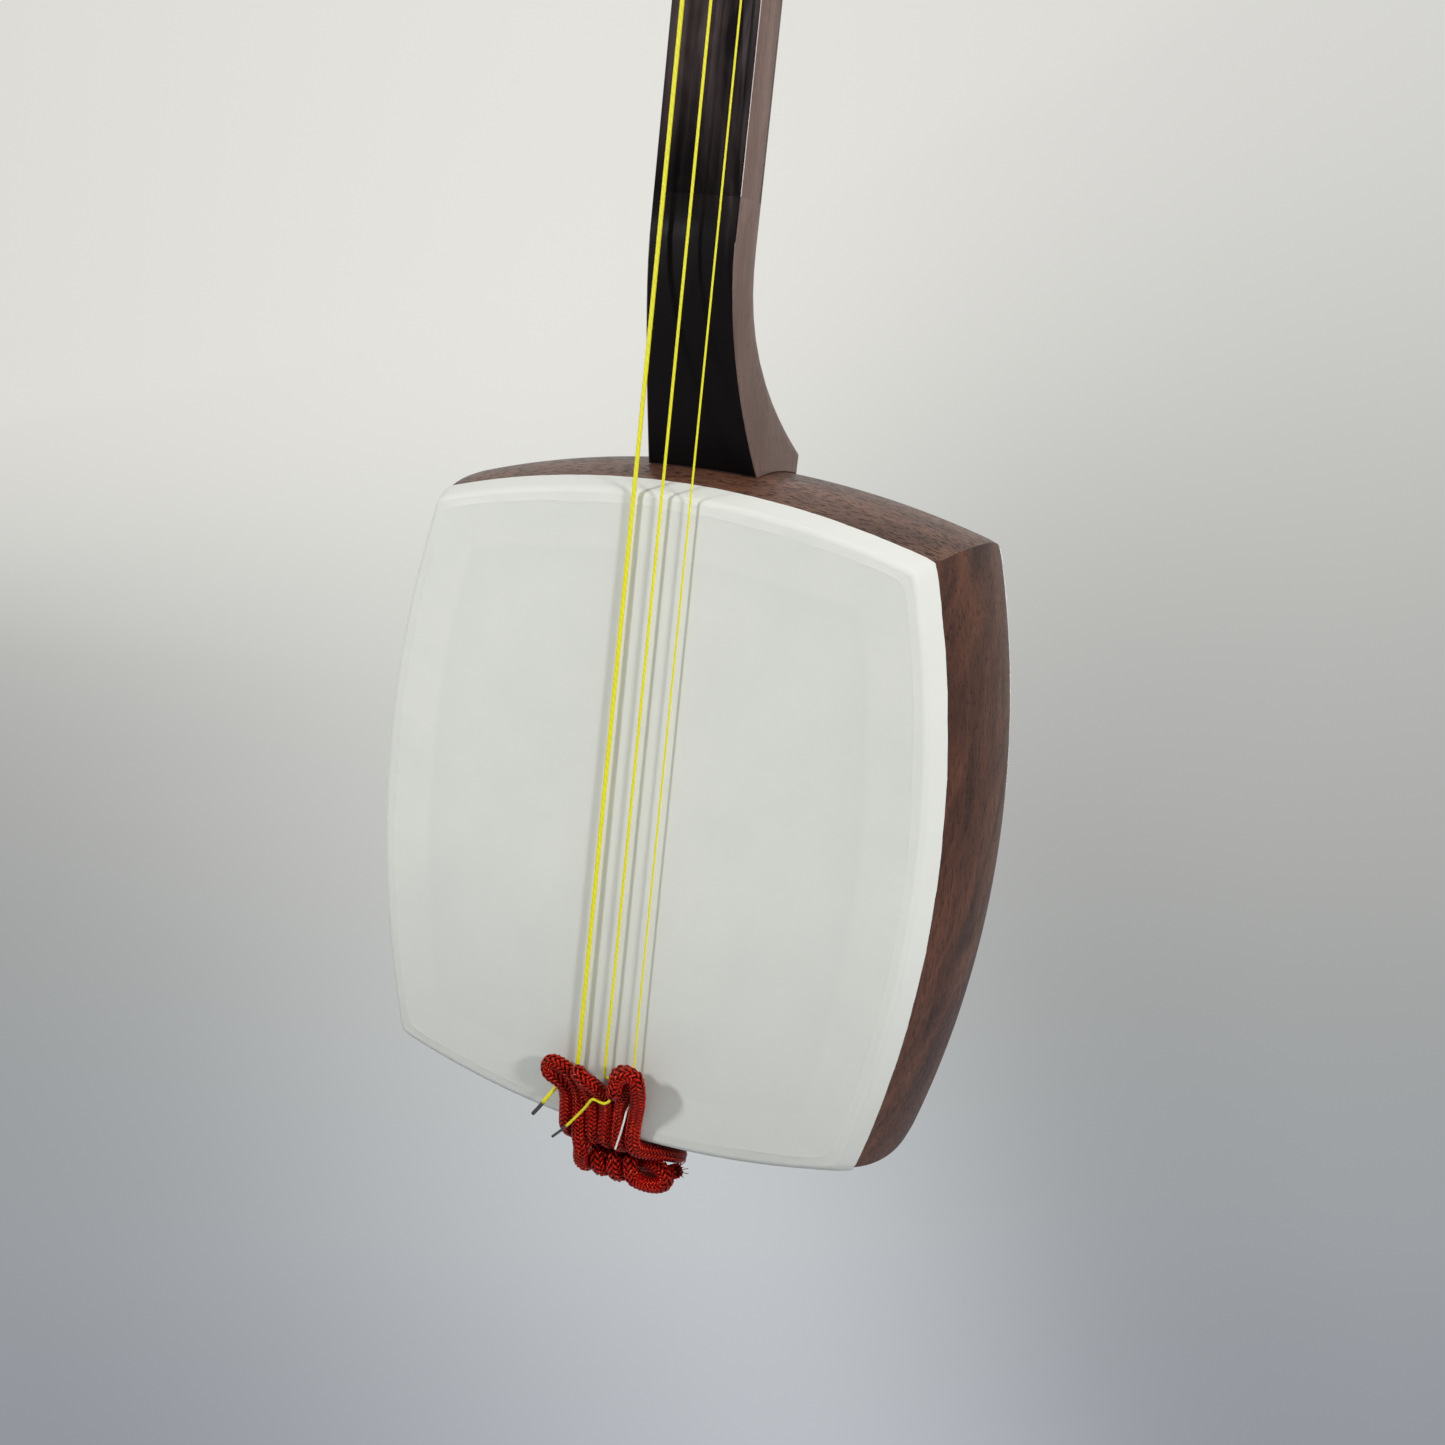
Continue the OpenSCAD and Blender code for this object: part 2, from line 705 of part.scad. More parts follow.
middle_ear = concat(
  [[-2.5, 2.7, 8], [-2.9, 3.4, 10.8], [-3.5, 4.6, 13.6], [-4.6, 6.1, 16.4]],
  half_turn([-3.6, 8.8, 18.8], [-1.6, -1.5, -0.2], [-1.1, 1, 1.7], [0, 0, 0]),
  [[-0.6, 9.5, 18.4], [0.9, 8.4, 16.8], [2.1, 6.4, 14.4], [2.6, 4.2, 11.4], [2.4, 2.8, 8]]
);
right_ear = concat(
  [[6.9, 2.8, 8], [7.1, 3.5, 11.4], [8.1, 4.2, 14.6], [9.9, 4.6, 17.6]],
  half_turn([8.6, 5.95, 20.8], [2.15, -0.7, 0], [0, 0, 2.4], [0, 0, 0]),
  half_turn([7.4, 9.3, 19.9], [-0.9, -2.15, 0.1], [-0.1, -0.2, -2.25], [0, 0, 0]),
  half_turn([11.5, 9.9, 22.2], [-2.8, 1, -0.2], [0.3, 0, 2.6], [0, 0, 0]),
  [[14.4, 7.8, 19.6], [13.9, 6.1, 15.9], [12.9, 4.2, 11.8], [12, 2.9, 8]]
);
last_strand = [
  [11.5, 2.5, 4], [11.6, 2.3, -0.6], [12.4, 0.8, -2.9], [14, -2.5, -4.3], [16.2, -6.6, -5.9],
  [17.8, -11, -7.6], [18.2, -16.5, -10.2], [16.6, -23, -14]
];
// The loop goes round the tail pin's far corners at a steady distance
pin_clear = 0.5;
loop_drop = -17;
loop_r = cord_r + pin_clear;
pin_half = tang_w / 2;
pin_front = mid_y - front_y - pin_t / 2;
pin_back = pin_front + pin_t;
loop_lead = 2;
function beside_pin(side, ahead) = [side * (pin_half + loop_r), ahead - pin_back, loop_drop];
function loop_half(side) = concat(
  [for (ahead = [pin_t - loop_lead, 2 * loop_lead, loop_lead]) beside_pin(side, ahead)],
  [for (a = [0:turn_step:90]) [side * (pin_half + loop_r * cos(a)), -pin_back - loop_r * sin(a), loop_drop]],
  [[side * (pin_half - loop_lead), -pin_back - loop_r, loop_drop]]
);
pin_loop = concat([[13.4, -29.5, -16.6]], loop_half(1), backwards(loop_half(-1)));
cord_end = [
  [-12.2, -27, -17.4], [-13.4, -21.5, -18.2], [-12.4, -17, -18.4], [-9.5, -14.8, -17.6], [-6, -14.2, -16.4],
  [-1, -14.2, -15.7], [5, -14.6, -16.2], [10, -14.8, -17.8], [14.4, -13.8, -17.2], [18, -12.6, -14.6],
  [21.3, -11.8, -12.4]
];
cord_steps = 2;
// Moves every inner point towards its neighbours, which eases short bends
function relaxed(list) = let (last = len(list) - 1) [for (i = [0:last])
  i == 0 || i == last ? list[i] : (list[i - 1] + 2 * list[i] + list[i + 1]) / 4];
neo_path = [for (p = relaxed(relaxed(smooth(concat(
  open_ring, knuckles, first_strand,
  backwards(left_ear), backwards(strand_up(-5 * strand_x, left_sag)),
  turn_back(-3 * strand_x, 2 * strand_x, wide_dip, left_sag), strand_up(-strand_x, 0),
  middle_ear, backwards(strand_up(strand_x, 0)),
  turn_back(2 * strand_x, strand_x, turn_dip, 0), strand_up(3 * strand_x, 0),
  right_ear, last_strand, pin_loop, cord_end
), cord_steps)))) at_front(p)];
module neo() {
  echo("tail cord least gap", least_gap(neo_path, cord_d));
  color(red)
    tube(neo_path, cord_d, cord_sides);
}

do_top_board();
do_bottom_board();
do_left_board();
do_right_board();
front_skin();
back_skin();
lower_neck();
middle_neck();
upper_neck();
tenjin();
kamigoma();
itomaki(peg_rows[0]);  // itomaki_1
itomaki(peg_rows[1]);  // itomaki_2
itomaki(peg_rows[2]);  // itomaki_3
seat_ring(peg_rows[0]);  // seat_ring_1
seat_ring(peg_rows[1]);  // seat_ring_2
seat_ring(peg_rows[2]);  // seat_ring_3
winding(0);  // winding_1
winding(1);  // winding_2
winding(2);  // winding_3
string(0);  // string_1
string(1);  // string_2
string(2);  // string_3
neo();
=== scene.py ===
# %% [markdown]
# # A shamisen, dressed for its portrait
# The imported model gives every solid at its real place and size, in metres.
# Blender adds what a solid can't show: stretched skin, wood grain, silk and braid.
# The origin is the centre of the back skin, X runs to the viewer's right,
# Y runs from the front skin to the back skin, and Z runs up the neck.

# %% Load the frame
import math

import bpy
import numpy as np
from mathutils import Matrix, Vector


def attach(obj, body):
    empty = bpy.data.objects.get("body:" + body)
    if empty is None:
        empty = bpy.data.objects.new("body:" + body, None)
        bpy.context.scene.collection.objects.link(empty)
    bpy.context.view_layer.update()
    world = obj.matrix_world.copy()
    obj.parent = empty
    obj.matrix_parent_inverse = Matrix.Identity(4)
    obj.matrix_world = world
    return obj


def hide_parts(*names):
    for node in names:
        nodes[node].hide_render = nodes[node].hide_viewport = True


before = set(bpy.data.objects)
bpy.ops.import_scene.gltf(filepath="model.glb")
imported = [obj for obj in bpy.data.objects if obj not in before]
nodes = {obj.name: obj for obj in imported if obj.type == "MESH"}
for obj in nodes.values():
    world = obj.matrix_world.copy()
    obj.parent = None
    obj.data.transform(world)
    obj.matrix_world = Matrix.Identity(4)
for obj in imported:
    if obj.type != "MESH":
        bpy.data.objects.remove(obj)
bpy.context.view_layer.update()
scene = bpy.context.scene
scene.view_settings.view_transform = "Standard"
bpy.ops.object.select_all(action="DESELECT")

# %% [markdown]
# ## The camera
# The photograph was taken from close by, a little above and to the right of
# the body. Its place was worked out from the body's edges and the neck's lines,
# so it is written here as a point and three directions. A camera that is aimed
# by hand would do for a new picture, but not for one that has to match.

# %% Camera
EYE = Vector((0.199625, -0.477057, 0.131948))
LOOK = Vector((-0.393165, 0.893618, -0.216432))
RIGHT = Vector((0.900235, 0.422007, 0.107058))
UP = Vector((-0.187014, 0.152742, 0.970405))
FOCAL_MM, SENSOR_MM, NEAREST = 39.58, 36, 0.01
bpy.ops.object.camera_add()
camera = bpy.context.active_object
camera.name = "portrait_camera"
camera.data.lens = FOCAL_MM
camera.data.sensor_width = SENSOR_MM
camera.data.clip_start = NEAREST
camera.matrix_world = Matrix.Translation(EYE) @ Matrix((RIGHT, UP, -LOOK)).transposed().to_4x4()
scene.camera = camera
print("camera", [round(v, 4) for v in camera.location])

# %% [markdown]
# ## Small helpers
# Operators act on whatever is selected, so every step first makes its own piece
# the only selected one. Modifiers are applied at once, and the result is a plain
# mesh whose place is in its points. Lengths are written in millimetres, as a
# maker would read them off a rule, and turned into metres at the last moment.

# %% Helpers
MM = 0.001
TWO_PI = 2 * math.pi


def take(piece):
    """Makes one piece the only selected and active one."""
    bpy.ops.object.select_all(action="DESELECT")
    piece.select_set(True)
    bpy.context.view_layer.objects.active = piece


def linked(name, data):
    """A new object in the scene, for a mesh or a light."""
    piece = bpy.data.objects.new(name, data)
    scene.collection.objects.link(piece)
    return piece


def added(name):
    """Names the piece that an operator has just added."""
    piece = bpy.context.active_object
    piece.name = piece.data.name = name
    return piece


def edit(piece, *steps, choose_all=True):
    """Runs edit-mode steps on all of a piece's mesh, or on what was chosen last."""
    take(piece)
    bpy.ops.object.mode_set(mode="EDIT")
    if choose_all:
        bpy.ops.mesh.select_all(action="SELECT")
    for step in steps:
        step()
    bpy.ops.object.mode_set(mode="OBJECT")


def modify(piece, kind, **settings):
    """Adds a modifier, sets it and applies it."""
    take(piece)
    bpy.ops.object.modifier_add(type=kind)
    modifier = piece.modifiers[-1]
    for key, value in settings.items():
        setattr(modifier, key, value)
    bpy.ops.object.modifier_apply(modifier=modifier.name)


def outwards():
    bpy.ops.mesh.normals_make_consistent(inside=False)


def smooth_by_angle(piece, degrees):
    take(piece)
    bpy.ops.object.shade_smooth_by_angle(angle=math.radians(degrees))


def read(items, key, kind=float, width=1):
    """One value or more of every item, as an array."""
    values = np.empty(len(items) * width, kind)
    items.foreach_get(key, values)
    return values


def points_of(mesh):
    return read(mesh.vertices, "co", width=3).reshape(-1, 3)


def move_points(mesh, points):
    mesh.vertices.foreach_set("co", np.asarray(points, float).ravel())
    mesh.update()


def note(mesh, name, values):
    """Keeps a number on every point, for a material or a later step to read."""
    layer = mesh.attributes.get(name) or mesh.attributes.new(name, "FLOAT", "POINT")
    layer.data.foreach_set("value", np.asarray(values, float).ravel())


def noted(mesh, name):
    return read(mesh.attributes[name].data, "value")


def settle(piece, material, slot, body, *replaced):
    """Gives a finished piece its material and its place in the frame; its slot is not used."""
    piece.data.materials.clear()
    piece.data.materials.append(material)
    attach(piece, body)
    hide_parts(*replaced)
    piece.data.calc_loop_triangles()
    print(piece.name, "on", body, len(piece.data.loop_triangles), "triangles")


# %% [markdown]
# ## Paths for cords and strings
# A cord is a tube that follows a line. The line comes from a few places that a
# smooth curve runs through, and a frame that is carried along it without twist
# says where "round the cord" starts. A Blender curve with a round bevel would
# also give a tube, but not the sixteen strands of a braid, so the tubes are built
# ring by ring, with a UV map that runs round and along them.

# %% Paths
def smooth_line(places, steps):
    """A line through every place, rounded between them."""
    p = np.asarray(places, float)
    a, b, c, d = np.vstack([p[:1], p[:-2]]), p[:-1], p[1:], np.vstack([p[2:], p[-1:]])
    rows = []
    for t in np.arange(steps) / steps:
        rows.append(0.5 * (2 * b + (c - a) * t + (2 * a - 5 * b + 4 * c - d) * t**2
                           + (3 * b - a - 3 * c + d) * t**3))
    return np.vstack([np.stack(rows, axis=1).reshape(-1, 3), p[-1:]])


def relaxed(line):
    """Every inner point moves towards its neighbours, which eases short bends."""
    inner = (line[:-2] + 2 * line[1:-1] + line[2:]) / 4
    return np.vstack([line[:1], inner, line[-1:]])


def unit(directions):
    return directions / np.linalg.norm(directions, axis=-1, keepdims=True)


def distances(line):
    """How far along a line each of its points is."""
    return np.concatenate([[0], np.cumsum(np.linalg.norm(np.diff(line, axis=0), axis=1))])


def respaced(line, step):
    """The same line with its points a steady step apart, and each point's distance along it."""
    along = distances(line)
    at = np.linspace(0, along[-1], round(along[-1] / step) + 1)
    return np.stack([np.interp(at, along, line[:, k]) for k in range(3)], axis=1), at


def carried_frame(line):
    """Across and beside directions at every point of a line, carried without twist."""
    along = unit(np.gradient(line, axis=0))
    across = np.empty_like(along)
    last = np.array([1.0, 0, 0]) if abs(along[0][0]) < 0.8 else np.array([0, 1.0, 0])
    for i, direction in enumerate(along):
        last = across[i] = unit(last - last.dot(direction) * direction)
    return across, np.cross(along, across)


# %% Tubes
RING_START = math.pi / 2


def rings_round(line, across, beside, half_wide, half_thick, sides, start=RING_START):
    """A ring of points round every point of a line."""
    turn = start + TWO_PI * np.arange(sides) / sides
    return (line[:, None] + half_wide * np.cos(turn)[None, :, None] * across[:, None]
            + half_thick * np.sin(turn)[None, :, None] * beside[:, None])


def faces_of_rings(rings, start):
    """Faces of a closed tube whose rings have the same number of points."""
    count, sides = rings.shape[:2]
    i, j = np.meshgrid(np.arange(count - 1), np.arange(sides), indexing="ij")
    k = (j + 1) % sides
    quads = np.stack([i * sides + j, i * sides + k, (i + 1) * sides + k, (i + 1) * sides + j], -1)
    caps = [list(range(sides - 1, -1, -1)), list(range((count - 1) * sides, count * sides))]
    return (quads.reshape(-1, 4) + start).tolist() + [[p + start for p in cap] for cap in caps]


def map_tubes(mesh, rounds, lengths):
    """A UV map round and along the tubes. Faces that close a ring run past the map's end."""
    corner = read(mesh.loops, "vertex_index", int)
    around, length = np.concatenate(rounds)[corner], np.concatenate(lengths)[corner]
    sizes = read(mesh.polygons, "loop_total", int)
    owner = np.repeat(np.arange(len(sizes)), sizes)
    furthest = np.zeros(len(sizes))
    np.maximum.at(furthest, owner, around)
    closing = (furthest[owner] > 0.6) & (around < 0.3) & (sizes[owner] == 4)
    layer = mesh.uv_layers.new(name="round_and_along")
    layer.data.foreach_set("uv", np.stack([around + closing, length], axis=1).ravel())


def tubes(name, rings_list, along_list):
    """One mesh of several closed tubes."""
    points, faces, rounds, lengths = [], [], [], []
    start = 0
    for rings, along in zip(rings_list, along_list):
        count, sides = rings.shape[:2]
        faces += faces_of_rings(rings, start)
        points.append(rings.reshape(-1, 3))
        rounds.append(np.tile(np.arange(sides) / sides, count))
        lengths.append(np.repeat(along, sides))
        start += count * sides
    mesh = bpy.data.meshes.new(name)
    mesh.from_pydata(np.vstack(points) * MM, [], faces)
    piece = linked(name, mesh)
    map_tubes(mesh, rounds, lengths)
    mesh.validate()
    take(piece)
    bpy.ops.object.shade_smooth()
    return piece


def round_tube(name, line, diameter, sides):
    """A plain round tube along a line."""
    rings = rings_round(line, *carried_frame(line), diameter / 2, diameter / 2, sides, start=0.0)
    return tubes(name, [rings], [distances(line)])


# %% [markdown]
# ## The tail cord
# The neo is one thick silk cord. It hooks on the tail pin, comes up over the
# body's lower edge and makes three ears that the strings are tied to, then ends
# in a row of turns under the edge. Its route repeats the places of the part's
# solid. The braid is real: eight strands run round it each way, and each passes
# over two of the others and then under two, which gives the rows of small
# chevrons. A displaced tube would be lighter, but its strands would not cast
# shadows into the gaps. A few loose threads stand out of its cut end.

# %% Bends of the tail cord
FRONT_Y = -80.0
EDGE_Z = -96.0263
STRAND_X, LEFT_SAG = 2.25, 4.0
KNUCKLE_R = 2.45
PIN_X, PIN_CORNER, PIN_OUT, PIN_UP = 9, 2.4, -49, -17
TURN_OUT, TURN_UP = -16, -8.95
UNDER_EDGE = [(-14.4, -8.35), (-12, -7.5), (-7, -5.85), (-2.5, -4.3), (0.8, -2.9), (2.3, -0.4), (2.5, 4)]


def at_front(places):
    """Places to the right, out from the skin and up from the body's lower edge."""
    p = np.asarray(places, float)
    return np.stack([p[:, 0], FRONT_Y - p[:, 1], EDGE_Z + p[:, 2]], axis=1)


def half_turn(centre, first, middle, drift=(0, 0, 0)):
    """Half a circle from one direction through another, which may drift along."""
    centre, first, middle, drift = (np.array(v, float) for v in (centre, first, middle, drift))
    turns = [math.radians(a) for a in range(0, 181, 30)]
    return [centre + first * math.cos(a) + middle * math.sin(a) + drift * (a / math.pi - 0.5) for a in turns]


def knuckles():
    """The turns under the body's edge, from the right to the left."""
    left, right = np.array([-6.9, -3.4, -12.1]), np.array([9.0, -6.6, -13.6])
    places = []
    for i in range(2, 39):
        a, t = math.radians(30 * i), (i / 12 - 0.25) / 3
        lift = (0.7 - 0.4 * t) * max(-1, min(1, -1.5 * math.cos(a)))
        places.append(right + (left - right) * t
                      + np.array([0, KNUCKLE_R * math.sin(a), lift - KNUCKLE_R * math.cos(a)]))
    return places


def strand_up(x, sag=0.0):
    """A strand that comes from under the body's edge and lies on the skin."""
    furthest = -UNDER_EDGE[0][0]
    return [(x, out, up + sag * min(0, out) / furthest) for out, up in UNDER_EDGE]


def turn_back(x, reach, dip, sag=0.0):
    """The bend between two strands, out of sight under the body."""
    return half_turn((x, TURN_OUT, TURN_UP - sag / 2), (-reach, 0, 0), dip, (0, 0, sag))


def loop_half(side):
    """Half of the loop round the tail pin, from its front to the middle of its back."""
    straight = [(side * (PIN_X + PIN_CORNER), out, PIN_UP) for out in (-33, -45, -47)]
    corner = [(side * (PIN_X + PIN_CORNER * math.cos(a)), PIN_OUT - PIN_CORNER * math.sin(a), PIN_UP)
              for a in (math.radians(d) for d in (0, 30, 60, 90))]
    return straight + corner + [(side * 7, PIN_OUT - PIN_CORNER, PIN_UP)]


# %% Route of the tail cord
open_ring = [(9.7, -11.4, -13.6), (12, -10, -12.2), (14.3, -8.8, -11.3), (16.6, -8, -11),
             (18.9, -7.4, -11.8), (20.3, -6.9, -13.7), (19.3, -6.5, -15.6), (16.9, -6.4, -16.7),
             (14.6, -6.4, -17.1), (12.5, -6.2, -17.1), (10.8, -5.6, -16.5)]
first_strand = [(-6.5, 0.2, -11.6), (-5.6, 1.6, -9.2), (-5.3, 2.6, -6.6), (-6, 3, -3.6), (-6.7, 2.7, 0.4)]
left_ear = [(-11.5, 2.6, 8), (-11.8, 3.6, 11.4), (-13, 4.9, 13.8),
            *half_turn((-15.2, 5.6, 17.2), (-0.6, 0, -2.3), (-2.3, 0, 0.6), (0, 0.3, 0)),
            (-12.6, 5.8, 19.1), (-10.4, 5.5, 17.9), (-8.6, 4.4, 15.2), (-7.6, 3.1, 11.6), (-6.9, 2.6, 8)]
middle_ear = [(-2.5, 2.7, 8), (-2.9, 3.4, 10.8), (-3.5, 4.6, 13.6), (-4.6, 6.1, 16.4),
              *half_turn((-3.6, 8.8, 18.8), (-1.6, -1.5, -0.2), (-1.1, 1, 1.7)),
              (-0.6, 9.5, 18.4), (0.9, 8.4, 16.8), (2.1, 6.4, 14.4), (2.6, 4.2, 11.4), (2.4, 2.8, 8)]
right_ear = [(6.9, 2.8, 8), (7.1, 3.5, 11.4), (8.1, 4.2, 14.6), (9.9, 4.6, 17.6),
             *half_turn((8.6, 5.95, 20.8), (2.15, -0.7, 0), (0, 0, 2.4)),
             *half_turn((7.4, 9.3, 19.9), (-0.9, -2.15, 0.1), (-0.1, -0.2, -2.25)),
             *half_turn((11.5, 9.9, 22.2), (-2.8, 1, -0.2), (0.3, 0, 2.6)),
             (14.4, 7.8, 19.6), (13.9, 6.1, 15.9), (12.9, 4.2, 11.8), (12, 2.9, 8)]
last_strand = [(11.5, 2.5, 4), (11.6, 2.3, -0.6), (12.4, 0.8, -2.9), (14, -2.5, -4.3), (16.2, -6.6, -5.9),
               (17.8, -11, -7.6), (18.2, -16.5, -10.2), (16.6, -23, -14), (13.4, -29.5, -16.6)]
cord_end = [(-12.2, -27, -17.4), (-13.4, -21.5, -18.2), (-12.4, -17, -18.4), (-9.5, -14.8, -17.6),
            (-6, -14.2, -16.4), (-1, -14.2, -15.7), (5, -14.6, -16.2), (10, -14.8, -17.8),
            (14.4, -13.8, -17.2), (18, -12.6, -14.6), (21.3, -11.8, -12.4)]
wide_dip, short_dip = (0, -2.5, -2.4), (0, -0.94 * STRAND_X, -0.34 * STRAND_X)
route = [*open_ring, *knuckles(), *first_strand,
         *left_ear[::-1], *strand_up(-5 * STRAND_X, LEFT_SAG)[::-1],
         *turn_back(-3 * STRAND_X, 2 * STRAND_X, wide_dip, LEFT_SAG), *strand_up(-STRAND_X),
         *middle_ear, *strand_up(STRAND_X)[::-1],
         *turn_back(2 * STRAND_X, STRAND_X, short_dip), *strand_up(3 * STRAND_X),
         *right_ear, *last_strand, *loop_half(1), *loop_half(-1)[::-1], *cord_end]
neo_line = relaxed(relaxed(smooth_line(at_front(route), 2)))

# %% Braid of the tail cord
EACH_WAY, LAY = 8, 10.8
BRAID_D, BRAID_STEP = 5.0, 0.5
STRAND_MIDDLE, STRAND_SWING, CROSSING = 1.84, 0.33, 1.8
STRAND_HALF_W, STRAND_HALF_T, STRAND_SIDES = 0.45, 0.33, 5
braid_line, braid_at = respaced(smooth_line(neo_line, 4), BRAID_STEP)
across, beside = carried_frame(braid_line)
ring_height = np.sin(RING_START + TWO_PI * np.arange(STRAND_SIDES) / STRAND_SIDES)
strand_rings, strand_along, strand_height = [], [], []
for way in (1, -1):
    for k in range(EACH_WAY):
        angle = way * TWO_PI * braid_at / LAY + TWO_PI * (k + 0.25) / EACH_WAY
        sway = np.tanh(CROSSING * np.cos(EACH_WAY / 2 * angle)) * way
        outward = np.cos(angle)[:, None] * across + np.sin(angle)[:, None] * beside
        middle = braid_line + (STRAND_MIDDLE + STRAND_SWING * sway)[:, None] * outward
        ahead = unit(np.gradient(middle, axis=0))
        sideways = unit(np.cross(ahead, outward))
        strand_rings.append(rings_round(middle, sideways, np.cross(sideways, ahead),
                                        STRAND_HALF_W, STRAND_HALF_T, STRAND_SIDES))
        strand_along.append(distances(middle))
        strand_height.append((sway[:, None] + ring_height).ravel())
print("braid of", len(strand_rings), "strands, lay", LAY, "mm")

# %% Core and loose threads of the tail cord
# The core's low height puts it in the braid finish's painted shade, nearly black.
CORE_R, CORE_SIDES, CORE_HEIGHT = 1.4, 6, -2.0
THREADS, THREAD_R, THREAD_SIDES, THREAD_HEIGHT = 14, 0.14, 4, 1.0
SHORTEST, LONGER_BY, SPREAD, SPOKE_TURN = 1.5, 1.1, 1.9, 2.4
core = [part[::2] for part in (braid_line, across, beside)]
strand_rings.append(rings_round(*core, CORE_R, CORE_R, CORE_SIDES))
strand_along.append(braid_at[::2])
strand_height.append(np.full(len(core[0]) * CORE_SIDES, CORE_HEIGHT))
tip = braid_line[-1]
tip_way = unit(tip - braid_line[-3])
t = np.linspace(-0.3, 1, 6)[:, None]
for k in range(THREADS):
    spoke = math.cos(SPOKE_TURN * k) * across[-1] + math.sin(SPOKE_TURN * k) * beside[-1]
    share = (k + 0.5) / THREADS
    length = SHORTEST + LONGER_BY * ((5 * k) % 7) / 7
    thread = tip + SPREAD * share**0.5 * spoke + length * (t * tip_way + 0.6 * share * t * t * spoke)
    strand_rings.append(rings_round(thread, *carried_frame(thread), THREAD_R, THREAD_R, THREAD_SIDES))
    strand_along.append(length * t.ravel())
    strand_height.append(np.full(len(t) * THREAD_SIDES, THREAD_HEIGHT))
neo_braid = tubes("neo_braid", strand_rings, strand_along)
strand_of = [np.full(r.shape[0] * r.shape[1], i % EACH_WAY / EACH_WAY) for i, r in enumerate(strand_rings)]
note(neo_braid.data, "strand", np.concatenate(strand_of))
note(neo_braid.data, "height", np.concatenate(strand_height) / 4 + 0.5)
edit(neo_braid, outwards)
print("tail cord of", len(neo_braid.data.polygons), "faces")

# %% [markdown]
# ## The strings
# Three silk strings run from their pegs over the nut and down the whole neck,
# hover two millimetres over the skin and go through the ears of the tail cord,
# where a short tail stands out. Each follows the same places as its solid.
# The turns on a peg are pieces of their own, because they move with the peg.
# A curve with a bevel would do for a plain string, but the twist of the silk
# needs a map that runs round and along it, which these tubes have.

# %% Lines of the strings
STRING_D = (1.25, 0.85, 0.6)
STRING_SIDES, WINDING_SIDES = 12, 10
PEG_ROW = (0, 2, 1)
LANES, WAYS, TURNS = (-4.2, -3.2, 4.2), (1, 1, -1), (4, 5, 5)
SHAFT_R = 4.0
NECK_Y, NUT_Z, HEAD_Z = -79.0, 724.4292, 730.4292
PEG_DEPTH, PEG_DEPTH_STEP, PEG_RISE, PEG_STEP = 20.9, 2.6, 31, 26
SPACING_NUT, SPACING_TAIL = 7.3, 9.3
NUT_HEIGHT = (0, 1.6, 1.6)
OVER_NUT, ROUND_PEG, UNDER_TURNS, BETWEEN_TURNS = 0.15, 0.3, 0.1, 0.45
STRING_ENDS = (
    [(-9.3, 2, 21), (-10.2, 1.6, 17.8), (-12, 1.2, 14.8), (-14, 1.7, 12.2), (-15.6, 3.4, 9.8),
     (-17.2, 4.6, 7), (-19.4, 4.8, 3.4), (-21.8, 4.6, 0)],
    [(0, 2, 19.5), (1.6, 2.1, 17.6), (4.2, 3, 16.2), (5.6, 4.9, 15.3), (5.7, 6.9, 14.6), (5.1, 8, 13.4),
     (4, 8.5, 12.8), (2.5, 8.9, 13.1), (1.2, 9.4, 13.6), (0, 9.1, 12.9), (-2.2, 8, 9.6),
     (-5.6, 6.6, 5), (-9.8, 5.8, -0.4), (-14, 5.2, -5)],
    [(9.6, 2, 20), (10.3, 2, 15.4), (10.3, 4, 12.2), (10.4, 6, 10.6), (10.2, 6.5, 8),
     (9.4, 6.3, 4), (8.6, 5.9, 1), (7.9, 5.7, -2)],
)


def peg_place(row):
    """Where a peg's axis crosses the middle of the peg box."""
    return np.array([0, NECK_Y + PEG_DEPTH + PEG_DEPTH_STEP * row, HEAD_Z + PEG_RISE + PEG_STEP * row])


def on_peg(k, radius, degrees, x):
    """A place round the shaft of a string's peg."""
    a = math.radians(degrees)
    return peg_place(PEG_ROW[k]) + np.array([x, -radius * math.cos(a), radius * math.sin(a)])


def string_line(k):
    """From half a turn round the peg, over the nut and down to the tail."""
    thick = STRING_D[k] / 2
    over_nut = np.array([(k - 1) * SPACING_NUT, NECK_Y - NUT_HEIGHT[k] - OVER_NUT - thick, NUT_Z])
    centre, radius = peg_place(PEG_ROW[k]), SHAFT_R + ROUND_PEG + thick
    away = (centre[1] - over_nut[1], over_nut[2] - centre[2])
    meet = math.degrees(math.atan2(away[1], away[0]) + math.acos(radius / math.hypot(*away)))
    wrap = [on_peg(k, radius, meet + a, LANES[k]) for a in range(150, -1, -15)]
    tail = smooth_line([((k - 1) * SPACING_TAIL, 2, 40)] + STRING_ENDS[k], 8)
    return np.vstack([wrap, [over_nut], at_front(tail)])


def winding_line(k):
    """The turns on a peg, with a short end at either side."""
    pitch, radius = STRING_D[k] + BETWEEN_TURNS, SHAFT_R + UNDER_TURNS + STRING_D[k] / 2
    first = LANES[k] + WAYS[k] * pitch
    helix = np.array([on_peg(k, radius, 180 + 10 * i, first + WAYS[k] * pitch * i / 36)
                      for i in range(36 * TURNS[k] + 1)])
    entry, leave = unit(helix[0] - helix[1]), unit(helix[-1] - helix[-2])
    return np.vstack([[helix[0] + STRING_D[k] * entry], helix, [helix[-1] + STRING_D[k] * leave]])


